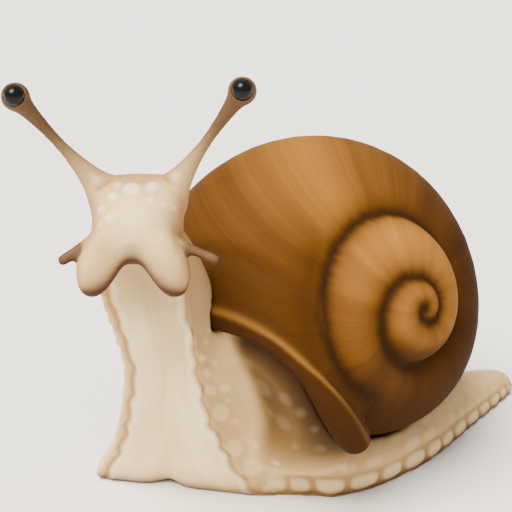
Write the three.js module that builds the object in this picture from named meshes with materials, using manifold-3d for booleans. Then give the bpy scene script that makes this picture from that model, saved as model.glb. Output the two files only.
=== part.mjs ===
// A land snail with a round, left-coiled shell, life size, rearing its head and the front of its foot.
// Millimetres, +Z up. The floor is z = 0, the tail points towards +Y, the snail's left side towards +X,
// and the origin lies on the floor under the shell.
import * as THREE from "three";
import Module from "manifold-3d";

const wasm = await Module();
wasm.setup();

const GAP = 0.3; // what neighbouring pieces keep between their faces
const MORE = 0.45; // growth along a section that leaves that gap also where a face slopes
const TURN = 2 * Math.PI;
const degrees = THREE.MathUtils.degToRad;
const vector = (x, y, z) => new THREE.Vector3(x, y, z);
const range = (count) => Array.from({ length: count }, (_, i) => i);

// ---------------------------------------------------------------- driving sizes

const SHELL = {
  apex: vector(21.02, -4.97, 31.61),
  axis: { turn: degrees(-7.6), lift: degrees(19.2) }, // where the apex points, from +X
  end: degrees(237.6), // where the lip meets the last whorl, round the axis from the tail side
  turns: 3.3,
  radius: 26.2, // from the axis to the outermost edge
  depth: 33.2, // from the apex down to the middle of the last whorl
  narrowing: [0.007, 0.311], // how fast the radius falls, turn by turn towards the apex
  sinking: [0.616, 0.259], // the same for the depth
  last: { length: 0.423, rise: 8, widen: 2.0, swell: 0.11 }, // how the last whorl departs from that
  across: 0.49, // half width of a whorl across the axis, as a share of its radius
  along: 0.572, // half width along the axis
  slant: degrees(51.7), // how far growth lines fall back from the seam to the base
  // Where the coil is slimmer: by what share of its radius, how many turns back, and over how many turns.
  pinches: [
    [0.15, 1.75, 0.3],
    [0.13, 0.94, 0.12],
  ],
  wall: 1.1,
  start: 0.005, // where the last whorl begins, in turns from the lip's seam
  mouth: -0.06, // where its hollow begins
  inner: 0.72, // where the last whorl gives way to the inner ones
  cavity: 0.28, // how far the hollow reaches in
  pillar: { top: 0.5, tip: 0.6, past: 0.25, foot: 2.0 }, // depth and radius where it starts and where it ends
};

// The flat opening: everything of the shell in front of it is cut away.
const OPENING = { facing: vector(0.191, -0.876, -0.444).normalize(), reach: 11.31 };

// The rolled lip, from the seam at the first growth line, over the top, to the far side.
const LIP = { first: -0.012, top: 0.156, crest: degrees(45), points: 9, sunk: 0.6, thin: 0.9, thick: 0.7 };

// The lip's lower end is a rounded tongue; rows hold a place and a radius.
const TONGUE = [
  [13.7, -22.8, 26.9, 0.8],
  [15.1, -21.3, 24.3, 1.6],
  [16.4, -19.4, 21.0, 2.2],
  [17.2, -17.4, 17.4, 2.5],
  [17.35, -15.0, 14.1, 2.55],
];

const MANTLE_SUNK = 1.5; // how far the mantle stays behind the opening

// The torso fills the space between foot and opening. Its right side is rounded in plan: rows hold the
// height, the middle and half length of that round end along Y, and how far it reaches to the right.
const TORSO = {
  inset: 2.2, // how much slimmer it is than the whorl that it enters
  wrap: [-0.16, 0.2], // turns that it follows the whorl, to the front and to the back
  left: 30,
  square: 0.7,
  rows: [
    [0, -8.5, 12.5, -9.4],
    [8, -8.0, 12.5, -8.8],
    [14, -7.5, 13.2, -9.0],
    [20, -9.0, 13.5, -10.5],
    [26, -11.5, 13.8, -11.5],
    [32, -14.0, 14.0, -12.5],
  ],
};

// The foot is one long ribbon that lies on the floor behind and rises into the neck in front. Each row holds
// the middle of the sole (x, y, z), the turn of its left edge from +X, the pitch of the sole, the reach to
// the left and right edges, the thickness, how square the section is, and how far the left flank bulges.
const RIBBON = [
  [8.2, 36.0, 0, -12, 0, 0.7, 1.0, 1.6, 1, 0],
  [8.1, 35.0, 0, -12, 0, 2.0, 2.8, 2.8, 1, 0],
  [7.7, 32.0, 0, -10, 0, 3.4, 4.2, 3.8, 1, 0],
  [5.5, 20.0, 0, -8, 0, 7.6, 8.0, 6.0, 1, 0],
  [3.0, 8.0, 0, -6, 0, 11.8, 12.0, 9.0, 0.9, 0.3],
  [0.5, -3.0, 0, -5, 0, 13.6, 13.0, 10.5, 0.8, 1.2],
  [-3.0, -12.0, 0, 5, 0, 14.9, 12.5, 10.0, 0.85, 1.0],
  [-7.0, -20.0, 0, 22, 2, 17.4, 11.5, 8.0, 1, 0.5],
  [-8.8, -27.1, 0, 33, 26, 14.6, 10.8, 6.5, 1, 4.0],
  [-5.6, -27.5, 6.9, 34, 58, 7.9, 10.0, 8.8, 0.8, 10.5],
  [-3.4, -29.6, 12.7, 32, 65, 6.0, 8.7, 11.5, 0.75, 10.2],
  [-1.6, -31.3, 18.9, 32, 68, 4.4, 7.6, 11.5, 0.75, 8.6],
  [-0.1, -32.9, 24.7, 32, 70, 3.7, 7.1, 10.5, 0.8, 5.4],
  [1.1, -34.3, 30.0, 33, 73, 3.4, 7.9, 10.0, 0.8, 3.4],
  [1.1, -35.4, 33.3, 37, 78, 3.7, 7.7, 9.5, 0.8, 3.0],
  [0.9, -36.3, 36.4, 41, 80, 4.2, 7.4, 9.2, 0.8, 2.5],
  [0.2, -37.7, 41.0, 45, 80, 5.4, 6.4, 8.6, 0.8, 0.8],
  [-0.5, -38.2, 46.5, 45, 80, 5.0, 5.0, 6.5, 0.8, 0],
];
const ROW = { tip: 0, tailEnd: 3, neckStart: 8.4, throat: 14, last: RIBBON.length - 1 };
const EDGE = 0.8; // thickness of the foot's margin
// The groove along the raised sole, and the rows where it sets in.
const FURROW = { depth: 0.7, width: 1.4, rows: [6.5, 8] };

// The head faces along -back; side is towards its left. Rows hold height, front, back, half width and how
// far its middle leans to the left.
const HEAD = {
  facing: degrees(45),
  middle: -27.3,
  square: 0.8,
  rows: [
    [43.5, -30.5, -25.0, 3.5, 0],
    [44.2, -33.0, -22.0, 5.0, 0],
    [46.0, -35.0, -20.5, 5.8, 0.2],
    [48.5, -35.6, -20.5, 5.7, 0.5],
    [51.0, -35.3, -21.5, 5.75, 0.7],
    [53.0, -33.8, -24.0, 5.5, 0.7],
    [54.0, -31.8, -27.5, 3.8, 0.7],
  ],
};
const MOUTH = { back: -31.0, halfWide: 1.7, halfDeep: 0.5, top: 44.8 };

// A lobe hangs on each side of the mouth. Rows hold height, half size and distance out from the middle.
const LOBE = {
  back: -33.6,
  deeper: 0.1,
  rows: [
    [40.3, 0.9, 4.8],
    [41.0, 1.7, 4.75],
    [42.5, 2.4, 4.7],
    [44.5, 2.85, 4.35],
    [47.0, 2.8, 4.0],
    [49.0, 1.6, 3.9],
  ],
};

// Tentacles grow from the brow and from beside the lobes; tips are side, back and height in the head's frame.
const UPPER = {
  root: { out: 3.6, lean: 0.6, back: -28.5, z: 51.5 },
  tips: { left: [-13.6, -33.6, 66.4], right: [-40.2, -33.6, 65.7] },
  radii: [3.0, 1.55, 0.8, 0.95, 1.5],
  bulb: 1.75,
};
const LOWER = {
  root: { out: 5.2, lean: 0, back: -33.0, z: 47.7 },
  tips: { left: [-17.1, -34.5, 45.5], right: [-35.6, -34.5, 45.4] },
  radii: [1.15, 0.85, 0.7, 0.75],
};
const EYE = { radius: 1.45, ahead: 0.7, gaze: degrees(22) };

// ---------------------------------------------------------------- solids

// A closed solid through a row of rings, each a loop of the same number of points, with a fan over each end.
function loft(rings) {
  const count = rings[0].length;
  const points = rings.flat();
  const triangles = [];
  const centre = (ring) => ring.reduce((sum, p) => sum.add(p), vector(0, 0, 0)).divideScalar(count);
  for (let row = 0; row + 1 < rings.length; row++)
    for (let i = 0; i < count; i++) {
      const a = row * count + i;
      const b = row * count + ((i + 1) % count);
      triangles.push(a, b, b + count, a, b + count, a + count);
    }
  for (const [row, flip] of [[0, true], [rings.length - 1, false]]) {
    const hub = points.push(centre(rings[row])) - 1;
    for (let i = 0; i < count; i++) {
      const a = row * count + i;
      const b = row * count + ((i + 1) % count);
      triangles.push(hub, ...(flip ? [b, a] : [a, b]));
    }
  }
  const made = (order) =>
    new wasm.Manifold(
      new wasm.Mesh({
        numProp: 3,
        vertProperties: new Float32Array(points.flatMap((p) => p.toArray())),
        triVerts: new Uint32Array(order),
      }),
    );
  const solid = made(triangles);
  return solid.volume() > 0 ? solid : made(triangles.reverse());
}

const joined = (solids) => solids.reduce((all, next) => all.add(next));

// The largest closed surface of a solid, without loose scraps or sealed hollows.
const largest = (solid) =>
  solid.decompose().reduce((best, next) => (next.volume() > best.volume() ? next : best));

// A solid and its copies a gap away along each axis: what a neighbour has to stay out of.
function spaceOf(solid) {
  const steps = [[GAP, 0, 0], [-GAP, 0, 0], [0, GAP, 0], [0, -GAP, 0], [0, 0, GAP], [0, 0, -GAP]];
  return joined([solid, ...steps.map((step) => solid.translate(step))]);
}

// Values between the rows of a table, on a smooth curve through them; place is a fractional row number.
function between(table, place) {
  const last = table.length - 1;
  const row = Math.min(Math.floor(place), last - 1);
  const f = place - row;
  const [a, b, c, d] = [-1, 0, 1, 2].map((k) => table[Math.min(Math.max(row + k, 0), last)]);
  return b.map((value, k) => {
    const rise = c[k] - a[k];
    const curve = 2 * a[k] - 5 * value + 4 * c[k] - d[k];
    const twist = 3 * value - a[k] - 3 * c[k] + d[k];
    return value + 0.5 * f * (rise + f * (curve + f * twist));
  });
}

// A round stalk through points, with a radius at each.
function stalk(points, radii, sides, fineness) {
  const curve = new THREE.CatmullRomCurve3(points);
  const steps = (points.length - 1) * fineness;
  const { normals, binormals } = curve.computeFrenetFrames(steps);
  const ring = (k) => {
    const [radius] = between(radii.map((r) => [r]), (k / steps) * (radii.length - 1));
    const middle = curve.getPoint(k / steps);
    return range(sides).map((i) =>
      middle
        .clone()
        .addScaledVector(normals[k], radius * Math.cos((TURN * i) / sides))
        .addScaledVector(binormals[k], radius * Math.sin((TURN * i) / sides)),
    );
  };
  return loft(range(steps + 1).map(ring));
}

function ball(centre, radius, sides) {
  const rings = sides / 2;
  const ring = (k) => {
    const polar = Math.PI * (0.02 + (0.96 * k) / rings);
    return range(sides).map((i) =>
      vector(
        radius * Math.sin(polar) * Math.cos((TURN * i) / sides),
        radius * Math.sin(polar) * Math.sin((TURN * i) / sides),
        radius * Math.cos(polar),
      ).add(centre),
    );
  };
  return loft(range(rings + 1).map(ring));
}

// ---------------------------------------------------------------- shell

const shellAxis = vector(
  Math.cos(SHELL.axis.turn) * Math.cos(SHELL.axis.lift),
  Math.sin(SHELL.axis.turn) * Math.cos(SHELL.axis.lift),
  Math.sin(SHELL.axis.lift),
);
const shellUp = vector(0, 0, 1).addScaledVector(shellAxis, -shellAxis.z).normalize();
const shellBack = vector().crossVectors(shellUp, shellAxis);

const fall = (start, [a, b], n) => start * Math.exp(-(a * n + b * n * n));
const ending = (n) => Math.exp(-((n / SHELL.last.length) ** 2));
const slimmer = (n) =>
  SHELL.pinches.reduce((all, [share, at, over]) => all * (1 - share * Math.exp(-(((n - at) / over) ** 2))), 1);
const whorlRadius = (n) => fall(SHELL.radius, SHELL.narrowing, n) * slimmer(n) + SHELL.last.widen * ending(n);
const whorlDepth = (n) => fall(SHELL.depth, SHELL.sinking, n) - SHELL.last.rise * ending(n);
const whorlAlong = (n) => SHELL.along + SHELL.last.swell * ending(n);

// A point on the ring of a given radius round the shell's axis, at a depth below the apex.
const roundAxis = (out, depth, angle) =>
  SHELL.apex
    .clone()
    .addScaledVector(shellAxis, -depth)
    .addScaledVector(shellBack, out * Math.cos(angle))
    .addScaledVector(shellUp, out * Math.sin(angle));

// A point of the shell's surface, n turns before the lip and at angle v round the whorl, moved out by grow.
function whorlPoint(n, v, grow) {
  const radius = whorlRadius(n);
  const out = (SHELL.across + 0.02) * radius + (SHELL.across * radius + grow) * Math.cos(v);
  const depth = whorlDepth(n) - (whorlAlong(n) * radius + grow) * Math.sin(v);
  return roundAxis(out, depth, SHELL.end - TURN * n - (SHELL.slant * (1 - Math.sin(v))) / 2);
}

const WHORL_SIDES = 24;
const STEP = 1 / 32; // turns between rings

// Part of the whorl's tube, from n = first back to n = last, as one closed solid.
function tube(first, last, grow) {
  const rows = Math.max(1, Math.round((last - first) / STEP));
  const ring = (row) =>
    range(WHORL_SIDES).map((i) =>
      whorlPoint(first + ((last - first) * row) / rows, (TURN * i) / WHORL_SIDES, grow),
    );
  return loft(range(rows + 1).map(ring));
}

// Whorls coil against each other, so they are joined from thirds of a turn.
function whorls(first, last, grow) {
  const parts = Math.ceil((last - first) * 3);
  const at = (i) => first + ((last - first) * i) / parts;
  return joined(range(parts).map((i) => tube(at(i), at(i + 1), grow)));
}

// The pillar that the whorls coil round.
function pillar(grow) {
  const { top, tip, past, foot } = SHELL.pillar;
  const ends = [
    [top, tip],
    [whorlDepth(0) + past * SHELL.radius + grow, foot + grow],
  ];
  return loft(ends.map(([depth, radius]) => range(12).map((i) => roundAxis(radius, depth, (TURN * i) / 12))));
}

const behindOpening = (solid, extra) =>
  solid.trimByPlane(OPENING.facing.clone().negate().toArray(), -(OPENING.reach + extra));

// Where growth line n crosses the opening's plane, between an angle in front of it and one behind it.
function lipPoint(n, front, behind) {
  let [ahead, hidden] = [front, behind];
  for (let pass = 0; pass < 24; pass++) {
    const middle = (ahead + hidden) / 2;
    if (OPENING.facing.dot(whorlPoint(n, middle, 0)) > OPENING.reach) ahead = middle;
    else hidden = middle;
  }
  return whorlPoint(n, ahead, -LIP.sunk);
}

function lipRoll(grow) {
  const at = (i) => LIP.first + ((LIP.top - LIP.first) * i) / (LIP.points - 1);
  const near = range(LIP.points).map((i) => lipPoint(at(i), LIP.crest, degrees(92)));
  const far = range(LIP.points - 1).map((i) => lipPoint(at(LIP.points - 2 - i), LIP.crest, degrees(-80)));
  const points = near.concat(far);
  const radii = points.map((_, i) => LIP.thin + LIP.thick * Math.exp(-(((i - 2.5) / 3) ** 2)) + grow);
  const places = TONGUE.map((row) => vector(...row));
  const thickness = TONGUE.map((row) => row[3] + grow);
  const ends = [0, -1].map((i) => ball(places.at(i), thickness.at(i), 12));
  return joined([stalk(points, radii, 8, 1), stalk(places, thickness, 12, 2), ...ends]);
}

const innerWhorls = whorls(SHELL.inner, SHELL.turns, 0);
const cavity = tube(SHELL.mouth, SHELL.cavity, -SHELL.wall).subtract(innerWhorls);
const shell = behindOpening(whorls(SHELL.start, SHELL.inner, 0), 0)
  .add(innerWhorls)
  .add(pillar(0))
  .subtract(cavity)
  .add(lipRoll(0));

// The shell with its opening filled, a gap larger all round.
const shellSpace = behindOpening(whorls(SHELL.start - 0.012, SHELL.inner, MORE), GAP)
  .add(whorls(SHELL.inner, SHELL.turns, MORE))
  .add(pillar(MORE))
  .add(lipRoll(MORE));

const mantle = behindOpening(tube(SHELL.start + 0.01, SHELL.cavity - 0.02, -SHELL.wall - MORE), -MANTLE_SUNK)
  .subtract(whorls(SHELL.inner, SHELL.inner + 0.7, MORE))
  .subtract(lipRoll(MORE));

// ---------------------------------------------------------------- foot and neck

function ribbonFrame(row) {
  const [x, y, z, turn, pitch] = between(RIBBON, row);
  const [sideways, tilt] = [degrees(turn), degrees(pitch)];
  const level = vector(Math.sin(sideways), -Math.cos(sideways), 0);
  return {
    middle: vector(x, y, z),
    side: vector(Math.cos(sideways), Math.sin(sideways), 0),
    back: vector(0, 0, Math.cos(tilt)).addScaledVector(level, -Math.sin(tilt)),
    ahead: vector(0, 0, Math.sin(tilt)).addScaledVector(level, Math.cos(tilt)),
  };
}

const OVER_POINTS = 17;
const UNDER_POINTS = 13;

// Moves every point of a closed outline outwards. The outline runs counterclockwise.
function outset(outline, grow) {
  return outline.map(([p, q], i) => {
    const [before, after] = [outline.at(i - 1), outline[(i + 1) % outline.length]];
    const [along, up] = [after[0] - before[0], after[1] - before[1]];
    const share = grow / Math.hypot(along, up);
    return [p + share * up, q - share * along];
  });
}

// One cross section: over the back from the left edge to the right, then along the sole.
function ribbonRing(row, grow) {
  const [left, right, thick, square, swell] = between(RIBBON, row).slice(5);
  const { middle, side, back } = ribbonFrame(row);
  const furrow = FURROW.depth * THREE.MathUtils.smoothstep(row, ...FURROW.rows);
  const place = ([p, q]) => {
    const point = middle.clone().addScaledVector(side, p).addScaledVector(back, q);
    return point.setZ(Math.max(point.z, 0));
  };
  const over = range(OVER_POINTS).map((i) => {
    const angle = (Math.PI * i) / (OVER_POINTS - 1);
    const p = Math.sign(Math.cos(angle)) * Math.abs(Math.cos(angle)) ** square;
    const reach = p > 0 ? left + swell * Math.min(1, 2 * Math.sin(angle)) : right;
    return [p * reach, EDGE + (thick - EDGE) * Math.sin(angle) ** square];
  });
  const under = range(UNDER_POINTS).map((i) => {
    const share = -1 + (2 * i) / (UNDER_POINTS - 1);
    const p = share * (share > 0 ? left : right);
    return [p, furrow * Math.exp(-((p / FURROW.width) ** 2))];
  });
  return outset(over.concat(under), grow).map(place);
}

// The ribbon is joined from its rows one by one, so that its bend doesn't fold a single surface.
function ribbon(first, last, grow) {
  const piece = (row) => loft([0, 0.5, 1].map((f) => ribbonRing(row + f, grow)));
  return joined(range(last - first).map((i) => piece(first + i)));
}

// The part of a solid between two cross sections of the ribbon, half a gap short of each.
function stretch(solid, from, to) {
  const cut = (piece, row, sign) => {
    const { middle, ahead } = ribbonFrame(row);
    const reach = sign * ahead.dot(middle) + GAP / 2;
    return piece.trimByPlane(ahead.clone().multiplyScalar(sign).toArray(), reach);
  };
  const front = to === undefined ? solid : cut(solid, to, -1);
  return from === undefined ? front : cut(front, from, 1);
}

// A standing column that is straight on the left and round on the right.
const torsoColumn = loft(
  TORSO.rows.map(([z, middle, half, right]) => {
    const round = range(17).map((i) => {
      const angle = Math.PI * (0.5 + i / 16);
      const soft = (value) => Math.sign(value) * Math.abs(value) ** TORSO.square;
      return vector((right + 1) * -soft(Math.cos(angle)) - 1, middle + half * soft(Math.sin(angle)), z);
    });
    return [vector(TORSO.left, middle + half, z), ...round, vector(TORSO.left, middle - half, z)];
  }),
);

// ---------------------------------------------------------------- head

const headSide = vector(Math.cos(HEAD.facing), Math.sin(HEAD.facing), 0);
const headBack = vector(-Math.sin(HEAD.facing), Math.cos(HEAD.facing), 0);
const inHead = (side, back, z) =>
  vector(0, 0, z).addScaledVector(headSide, side).addScaledVector(headBack, back);

// A level ring between a circle (square 1) and a rounded square, in the head's frame.
function rounded(side, back, z, halfWide, halfDeep, square, count) {
  const soften = (value) => Math.sign(value) * Math.abs(value) ** square;
  return range(count).map((i) => {
    const angle = (TURN * i) / count;
    return inHead(side + halfWide * soften(Math.cos(angle)), back + halfDeep * soften(Math.sin(angle)), z);
  });
}

function headShape(grow) {
  const last = (HEAD.rows.length - 1) * 2;
  const ring = (i) => {
    const [z, front, back, half, lean] = between(HEAD.rows, i / 2);
    const higher = grow * ((2 * i) / last - 1);
    const deep = (back - front) / 2 + grow;
    return rounded(HEAD.middle + lean, (front + back) / 2, z + higher, half + grow, deep, HEAD.square, 24);
  };
  return loft(range(last + 1).map(ring));
}

function lobeShape(sign, grow) {
  const last = LOBE.rows.length - 1;
  const ring = ([z, half, out], i) => {
    const higher = grow * ((2 * i) / last - 1);
    const side = HEAD.middle + sign * out;
    return rounded(side, LOBE.back, z + higher, half + grow, half + LOBE.deeper + grow, 0.9, 16);
  };
  return loft(LOBE.rows.map(ring));
}

const mouthSlit = loft(
  [HEAD.rows[0][0] - 1, MOUTH.top].map((z) =>
    rounded(HEAD.middle, MOUTH.back, z, MOUTH.halfWide, MOUTH.halfDeep, 0.8, 12),
  ),
);

const headSpace = headShape(MORE);
const lobeSpace = lobeShape(1, MORE).add(lobeShape(-1, MORE));

const SIDES = { left: 1, right: -1 };

function tentacle({ root, tips, radii }, hand, sides) {
  const start = inHead(HEAD.middle + root.lean + SIDES[hand] * root.out, root.back, root.z);
  const end = inHead(...tips[hand]);
  return stalk([start, start.clone().lerp(end, 0.5), end], radii, sides, 3);
}

function eyeBall(hand, grow) {
  const ahead = vector(0, 0, Math.sin(EYE.gaze)).addScaledVector(headBack, -Math.cos(EYE.gaze));
  return ball(inHead(...UPPER.tips[hand]).addScaledVector(ahead, EYE.ahead), EYE.radius + grow, 16);
}

function upperTentacle(hand) {
  const bulb = ball(inHead(...UPPER.tips[hand]), UPPER.bulb, 12);
  return tentacle(UPPER, hand, 12).add(bulb).subtract(headSpace).subtract(eyeBall(hand, GAP));
}

const lowerTentacle = (hand) => tentacle(LOWER, hand, 10).subtract(headSpace).subtract(lobeSpace);

// ---------------------------------------------------------------- snail

const finish = (color, roughness) => new THREE.MeshStandardMaterial({ color, roughness, metalness: 0 });
const materials = {
  shell: finish("#8a5423", 0.45),
  skin: finish("#d9c3a5", 0.5),
  mantle: finish("#8f7657", 0.5),
  tentacle: finish("#a5897a", 0.5),
  eye: finish("#111111", 0.15),
};

const snail = new THREE.Group();

function add(name, solid, material) {
  const { vertProperties, triVerts } = largest(solid).getMesh();
  const geometry = new THREE.BufferGeometry();
  geometry.setAttribute("position", new THREE.BufferAttribute(vertProperties, 3));
  geometry.setIndex(new THREE.BufferAttribute(triVerts, 1));
  geometry.computeVertexNormals();
  const mesh = new THREE.Mesh(geometry, material);
  mesh.name = name;
  snail.add(mesh);
}

add("shell", shell, materials.shell);
add("mantle", mantle, materials.mantle);

const flesh = ribbon(ROW.tip, ROW.last, 0).subtract(shellSpace).subtract(headSpace).subtract(lobeSpace);
add("tail", stretch(flesh, undefined, ROW.tailEnd), materials.skin);
add("foot", stretch(flesh, ROW.tailEnd, ROW.neckStart), materials.skin);
add("neck", stretch(flesh, ROW.neckStart, undefined), materials.skin);

const torso = tube(...TORSO.wrap, -TORSO.inset)
  .intersect(torsoColumn)
  .subtract(shellSpace)
  .subtract(spaceOf(ribbon(ROW.tip, ROW.throat, MORE)));
add("torso", torso, materials.skin);

add("head", headShape(0).subtract(mouthSlit), materials.skin);
for (const hand of ["left", "right"]) {
  add(`oral_lobe_${hand}`, lobeShape(SIDES[hand], 0).subtract(headSpace), materials.skin);
  add(`upper_tentacle_${hand}`, upperTentacle(hand), materials.tentacle);
  add(`lower_tentacle_${hand}`, lowerTentacle(hand), materials.tentacle);
  add(`eye_${hand}`, eyeBall(hand, 0), materials.eye);
}

export default snail;
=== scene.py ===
# %% [markdown]
# # A Roman snail, life size
#
# The snail is about 90 mm long. Its solids come as a fixed frame, so this file never moves them: it gives
# them finer surfaces and finishes. Five pieces do that: a shell that grows by a rule, one skin over the
# flesh, a collar of flesh in the shell's opening, and two glossy eyes. Shapes are worked out in millimetres
# and stored in metres.

import math

import bmesh
import bpy
import numpy as np
from mathutils import Matrix, Vector
from mathutils.kdtree import KDTree


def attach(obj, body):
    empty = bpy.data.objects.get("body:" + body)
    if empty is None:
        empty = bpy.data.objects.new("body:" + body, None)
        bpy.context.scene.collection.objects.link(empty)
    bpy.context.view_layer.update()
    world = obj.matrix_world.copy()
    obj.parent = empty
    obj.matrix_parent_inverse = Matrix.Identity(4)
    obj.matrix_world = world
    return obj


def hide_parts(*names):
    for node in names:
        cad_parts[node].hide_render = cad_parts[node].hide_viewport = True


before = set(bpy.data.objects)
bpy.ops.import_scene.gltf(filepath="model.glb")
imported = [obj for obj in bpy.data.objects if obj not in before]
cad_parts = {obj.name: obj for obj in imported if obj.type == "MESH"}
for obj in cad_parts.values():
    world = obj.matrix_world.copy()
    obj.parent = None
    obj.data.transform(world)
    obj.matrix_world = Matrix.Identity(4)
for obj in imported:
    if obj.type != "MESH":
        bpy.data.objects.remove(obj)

MM = 0.001
TURN = 2 * math.pi
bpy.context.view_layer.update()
print("solids:", ", ".join(sorted(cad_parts)))

# %% [markdown]
# ## The camera
#
# The camera looks a little down on the snail, from in front of its left side. It is set by an azimuth, an
# elevation and a distance from a point near the middle of the body, which is easier to adjust than a
# position and three angles. A long lens keeps the near tentacles from looking oversized.

# %% Camera
CAMERA = {
    "target": (-8.49, -8.49, 32.0), "azimuth": 45.0, "elevation": 22.0, "distance": 200.0, "lens": 93.75,
}


def make_camera():
    azimuth, elevation = math.radians(CAMERA["azimuth"]), math.radians(CAMERA["elevation"])
    outward = Vector((
        math.cos(elevation) * math.sin(azimuth),
        -math.cos(elevation) * math.cos(azimuth),
        math.sin(elevation),
    ))
    data = bpy.data.cameras.new("camera")
    data.lens = CAMERA["lens"]
    data.clip_start = 0.01
    camera = bpy.data.objects.new("camera", data)
    camera.location = (Vector(CAMERA["target"]) + CAMERA["distance"] * outward) * MM
    camera.rotation_euler = (math.pi / 2 - elevation, 0, azimuth)
    bpy.context.scene.collection.objects.link(camera)
    bpy.context.scene.camera = camera
    return camera


print("camera at", [round(value / MM) for value in make_camera().location], "mm")

# %% [markdown]
# ## Tables, rings and lofts
#
# A living form is rarely a box or a cylinder. Here each is a table of sizes, one row for each place along
# the form, and a smooth curve through the rows gives every size in between. A ring of points is made for
# each place, and a loft joins the rings into a closed form. The functions work on whole arrays at once.


# %% Smooth tables and closed lofts
def between(table, places):
    """Values on a smooth curve through a table's rows; places are fractional row numbers."""
    table, places = np.asarray(table, float), np.asarray(places, float)
    last = len(table) - 1
    row = np.clip(np.floor(places).astype(int), 0, last - 1)
    f = (places - row)[..., None]
    a, b, c, d = (table[np.clip(row + k, 0, last)] for k in (-1, 0, 1, 2))
    curve = 2 * a - 5 * b + 4 * c - d
    twist = 3 * b - a - 3 * c + d
    return b + 0.5 * f * (c - a + f * (curve + f * twist))


def loft(rings):
    """Points and triangles of a closed form through rings, an array of (ring, point, xyz), capped by fans."""
    rings = np.asarray(rings, float)
    count, sides = rings.shape[:2]
    points = np.vstack([rings.reshape(-1, 3), rings[0].mean(0), rings[-1].mean(0)])
    row, side = np.meshgrid(np.arange(count - 1), np.arange(sides), indexing="ij")
    a = (row * sides + side).ravel()
    b = (row * sides + (side + 1) % sides).ravel()
    walls = np.vstack([np.column_stack([a, b, b + sides]), np.column_stack([a, b + sides, a + sides])])
    i, j = np.arange(sides), (np.arange(sides) + 1) % sides
    first, final = np.full(sides, count * sides), np.full(sides, count * sides + 1)
    end = (count - 1) * sides
    fans = np.vstack([np.column_stack([first, j, i]), np.column_stack([final, end + i, end + j])])
    faces = np.vstack([walls, fans])
    corners = points[faces]
    volume = np.einsum("ij,ij->i", corners[:, 0], np.cross(corners[:, 1], corners[:, 2])).sum()
    return points, faces if volume > 0 else faces[:, ::-1]


def squared_off(value, power):
    """A sine or cosine with its size raised to a power below 1, which squares off a round section."""
    return np.sign(value) * np.abs(value) ** power


def mesh_object(name, points, faces):
    mesh = bpy.data.meshes.new(name)
    mesh.from_pydata(np.asarray(points).tolist(), [], np.asarray(faces).tolist())
    mesh.update()
    made = bpy.data.objects.new(name, mesh)
    bpy.context.scene.collection.objects.link(made)
    return made


def read_array(items, name, width=3, kind=float):
    """One value, such as a place, of every vertex or edge of a mesh."""
    flat = np.empty(len(items) * width, kind)
    items.foreach_get(name, flat)
    return flat.reshape(-1, width)


def points_of(made):
    return read_array(made.data.vertices, "co")


def normals_of(made):
    return read_array(made.data.vertices, "normal")


def edges_of(made):
    return read_array(made.data.edges, "vertices", 2, int)


def move_points(made, points):
    made.data.vertices.foreach_set("co", np.asarray(points, float).ravel())
    made.data.update()


print("a smooth table gives", between([[0.0], [1.0], [0.0]], [0.5, 1.5]).ravel(), "between 0, 1 and 0")

# %% [markdown]
# Blender's modifiers do the joining: Boolean cuts and unites, and Remesh turns a joined form into one even
# surface. Each is applied at once, by evaluating the object and keeping the result as a plain mesh.


# %% Applied modifiers
def apply_modifiers(made):
    depsgraph = bpy.context.evaluated_depsgraph_get()
    result = bpy.data.meshes.new_from_object(made.evaluated_get(depsgraph))
    made.modifiers.clear()
    made.data = result
    return made


def boolean(made, other, operation):
    """Unites with or cuts by another closed object, which is used up."""
    modifier = made.modifiers.new(operation, "BOOLEAN")
    modifier.operation, modifier.object, modifier.solver = operation, other, "MANIFOLD"
    apply_modifiers(made)
    bpy.data.objects.remove(other)
    return made


def remesh(made, voxel):
    modifier = made.modifiers.new("remesh", "REMESH")
    modifier.mode, modifier.voxel_size = "VOXEL", voxel
    return apply_modifiers(made)


def cut_in_front(made, facing, reach):
    """Keeps what lies behind a plane, and closes the cut with a flat face."""
    work = bmesh.new()
    work.from_mesh(made.data)
    every = work.verts[:] + work.edges[:] + work.faces[:]
    place = Vector(facing) * reach
    cut = bmesh.ops.bisect_plane(work, geom=every, plane_co=place, plane_no=Vector(facing), clear_outer=True)
    edges = [item for item in cut["geom_cut"] if isinstance(item, bmesh.types.BMEdge)]
    bmesh.ops.holes_fill(work, edges=edges)
    bmesh.ops.triangulate(work, faces=[face for face in work.faces if len(face.verts) > 4])
    work.to_mesh(made.data)
    work.free()
    return made


print("modifiers are applied as soon as they are made")

# %% [markdown]
# ## Node trees that read like formulas
#
# One function adds a node with its options and links. A Field is a number that varies over a shape: it
# turns plus, minus and the rest into Math nodes, so that one formula serves both for arrays of points and
# for a node tree.


# %% Nodes and fields
def add_node(tree, kind, settings=None, inputs=None):
    """Adds a node, sets its options, and sets or links its inputs by name or number."""
    node = tree.nodes.new(kind)
    for name, value in (settings or {}).items():
        setattr(node, name, value)
    for name, value in (inputs or {}).items():
        if isinstance(value, bpy.types.NodeSocket):
            tree.links.new(value, node.inputs[name])
        else:
            node.inputs[name].default_value = value
    return node


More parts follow.
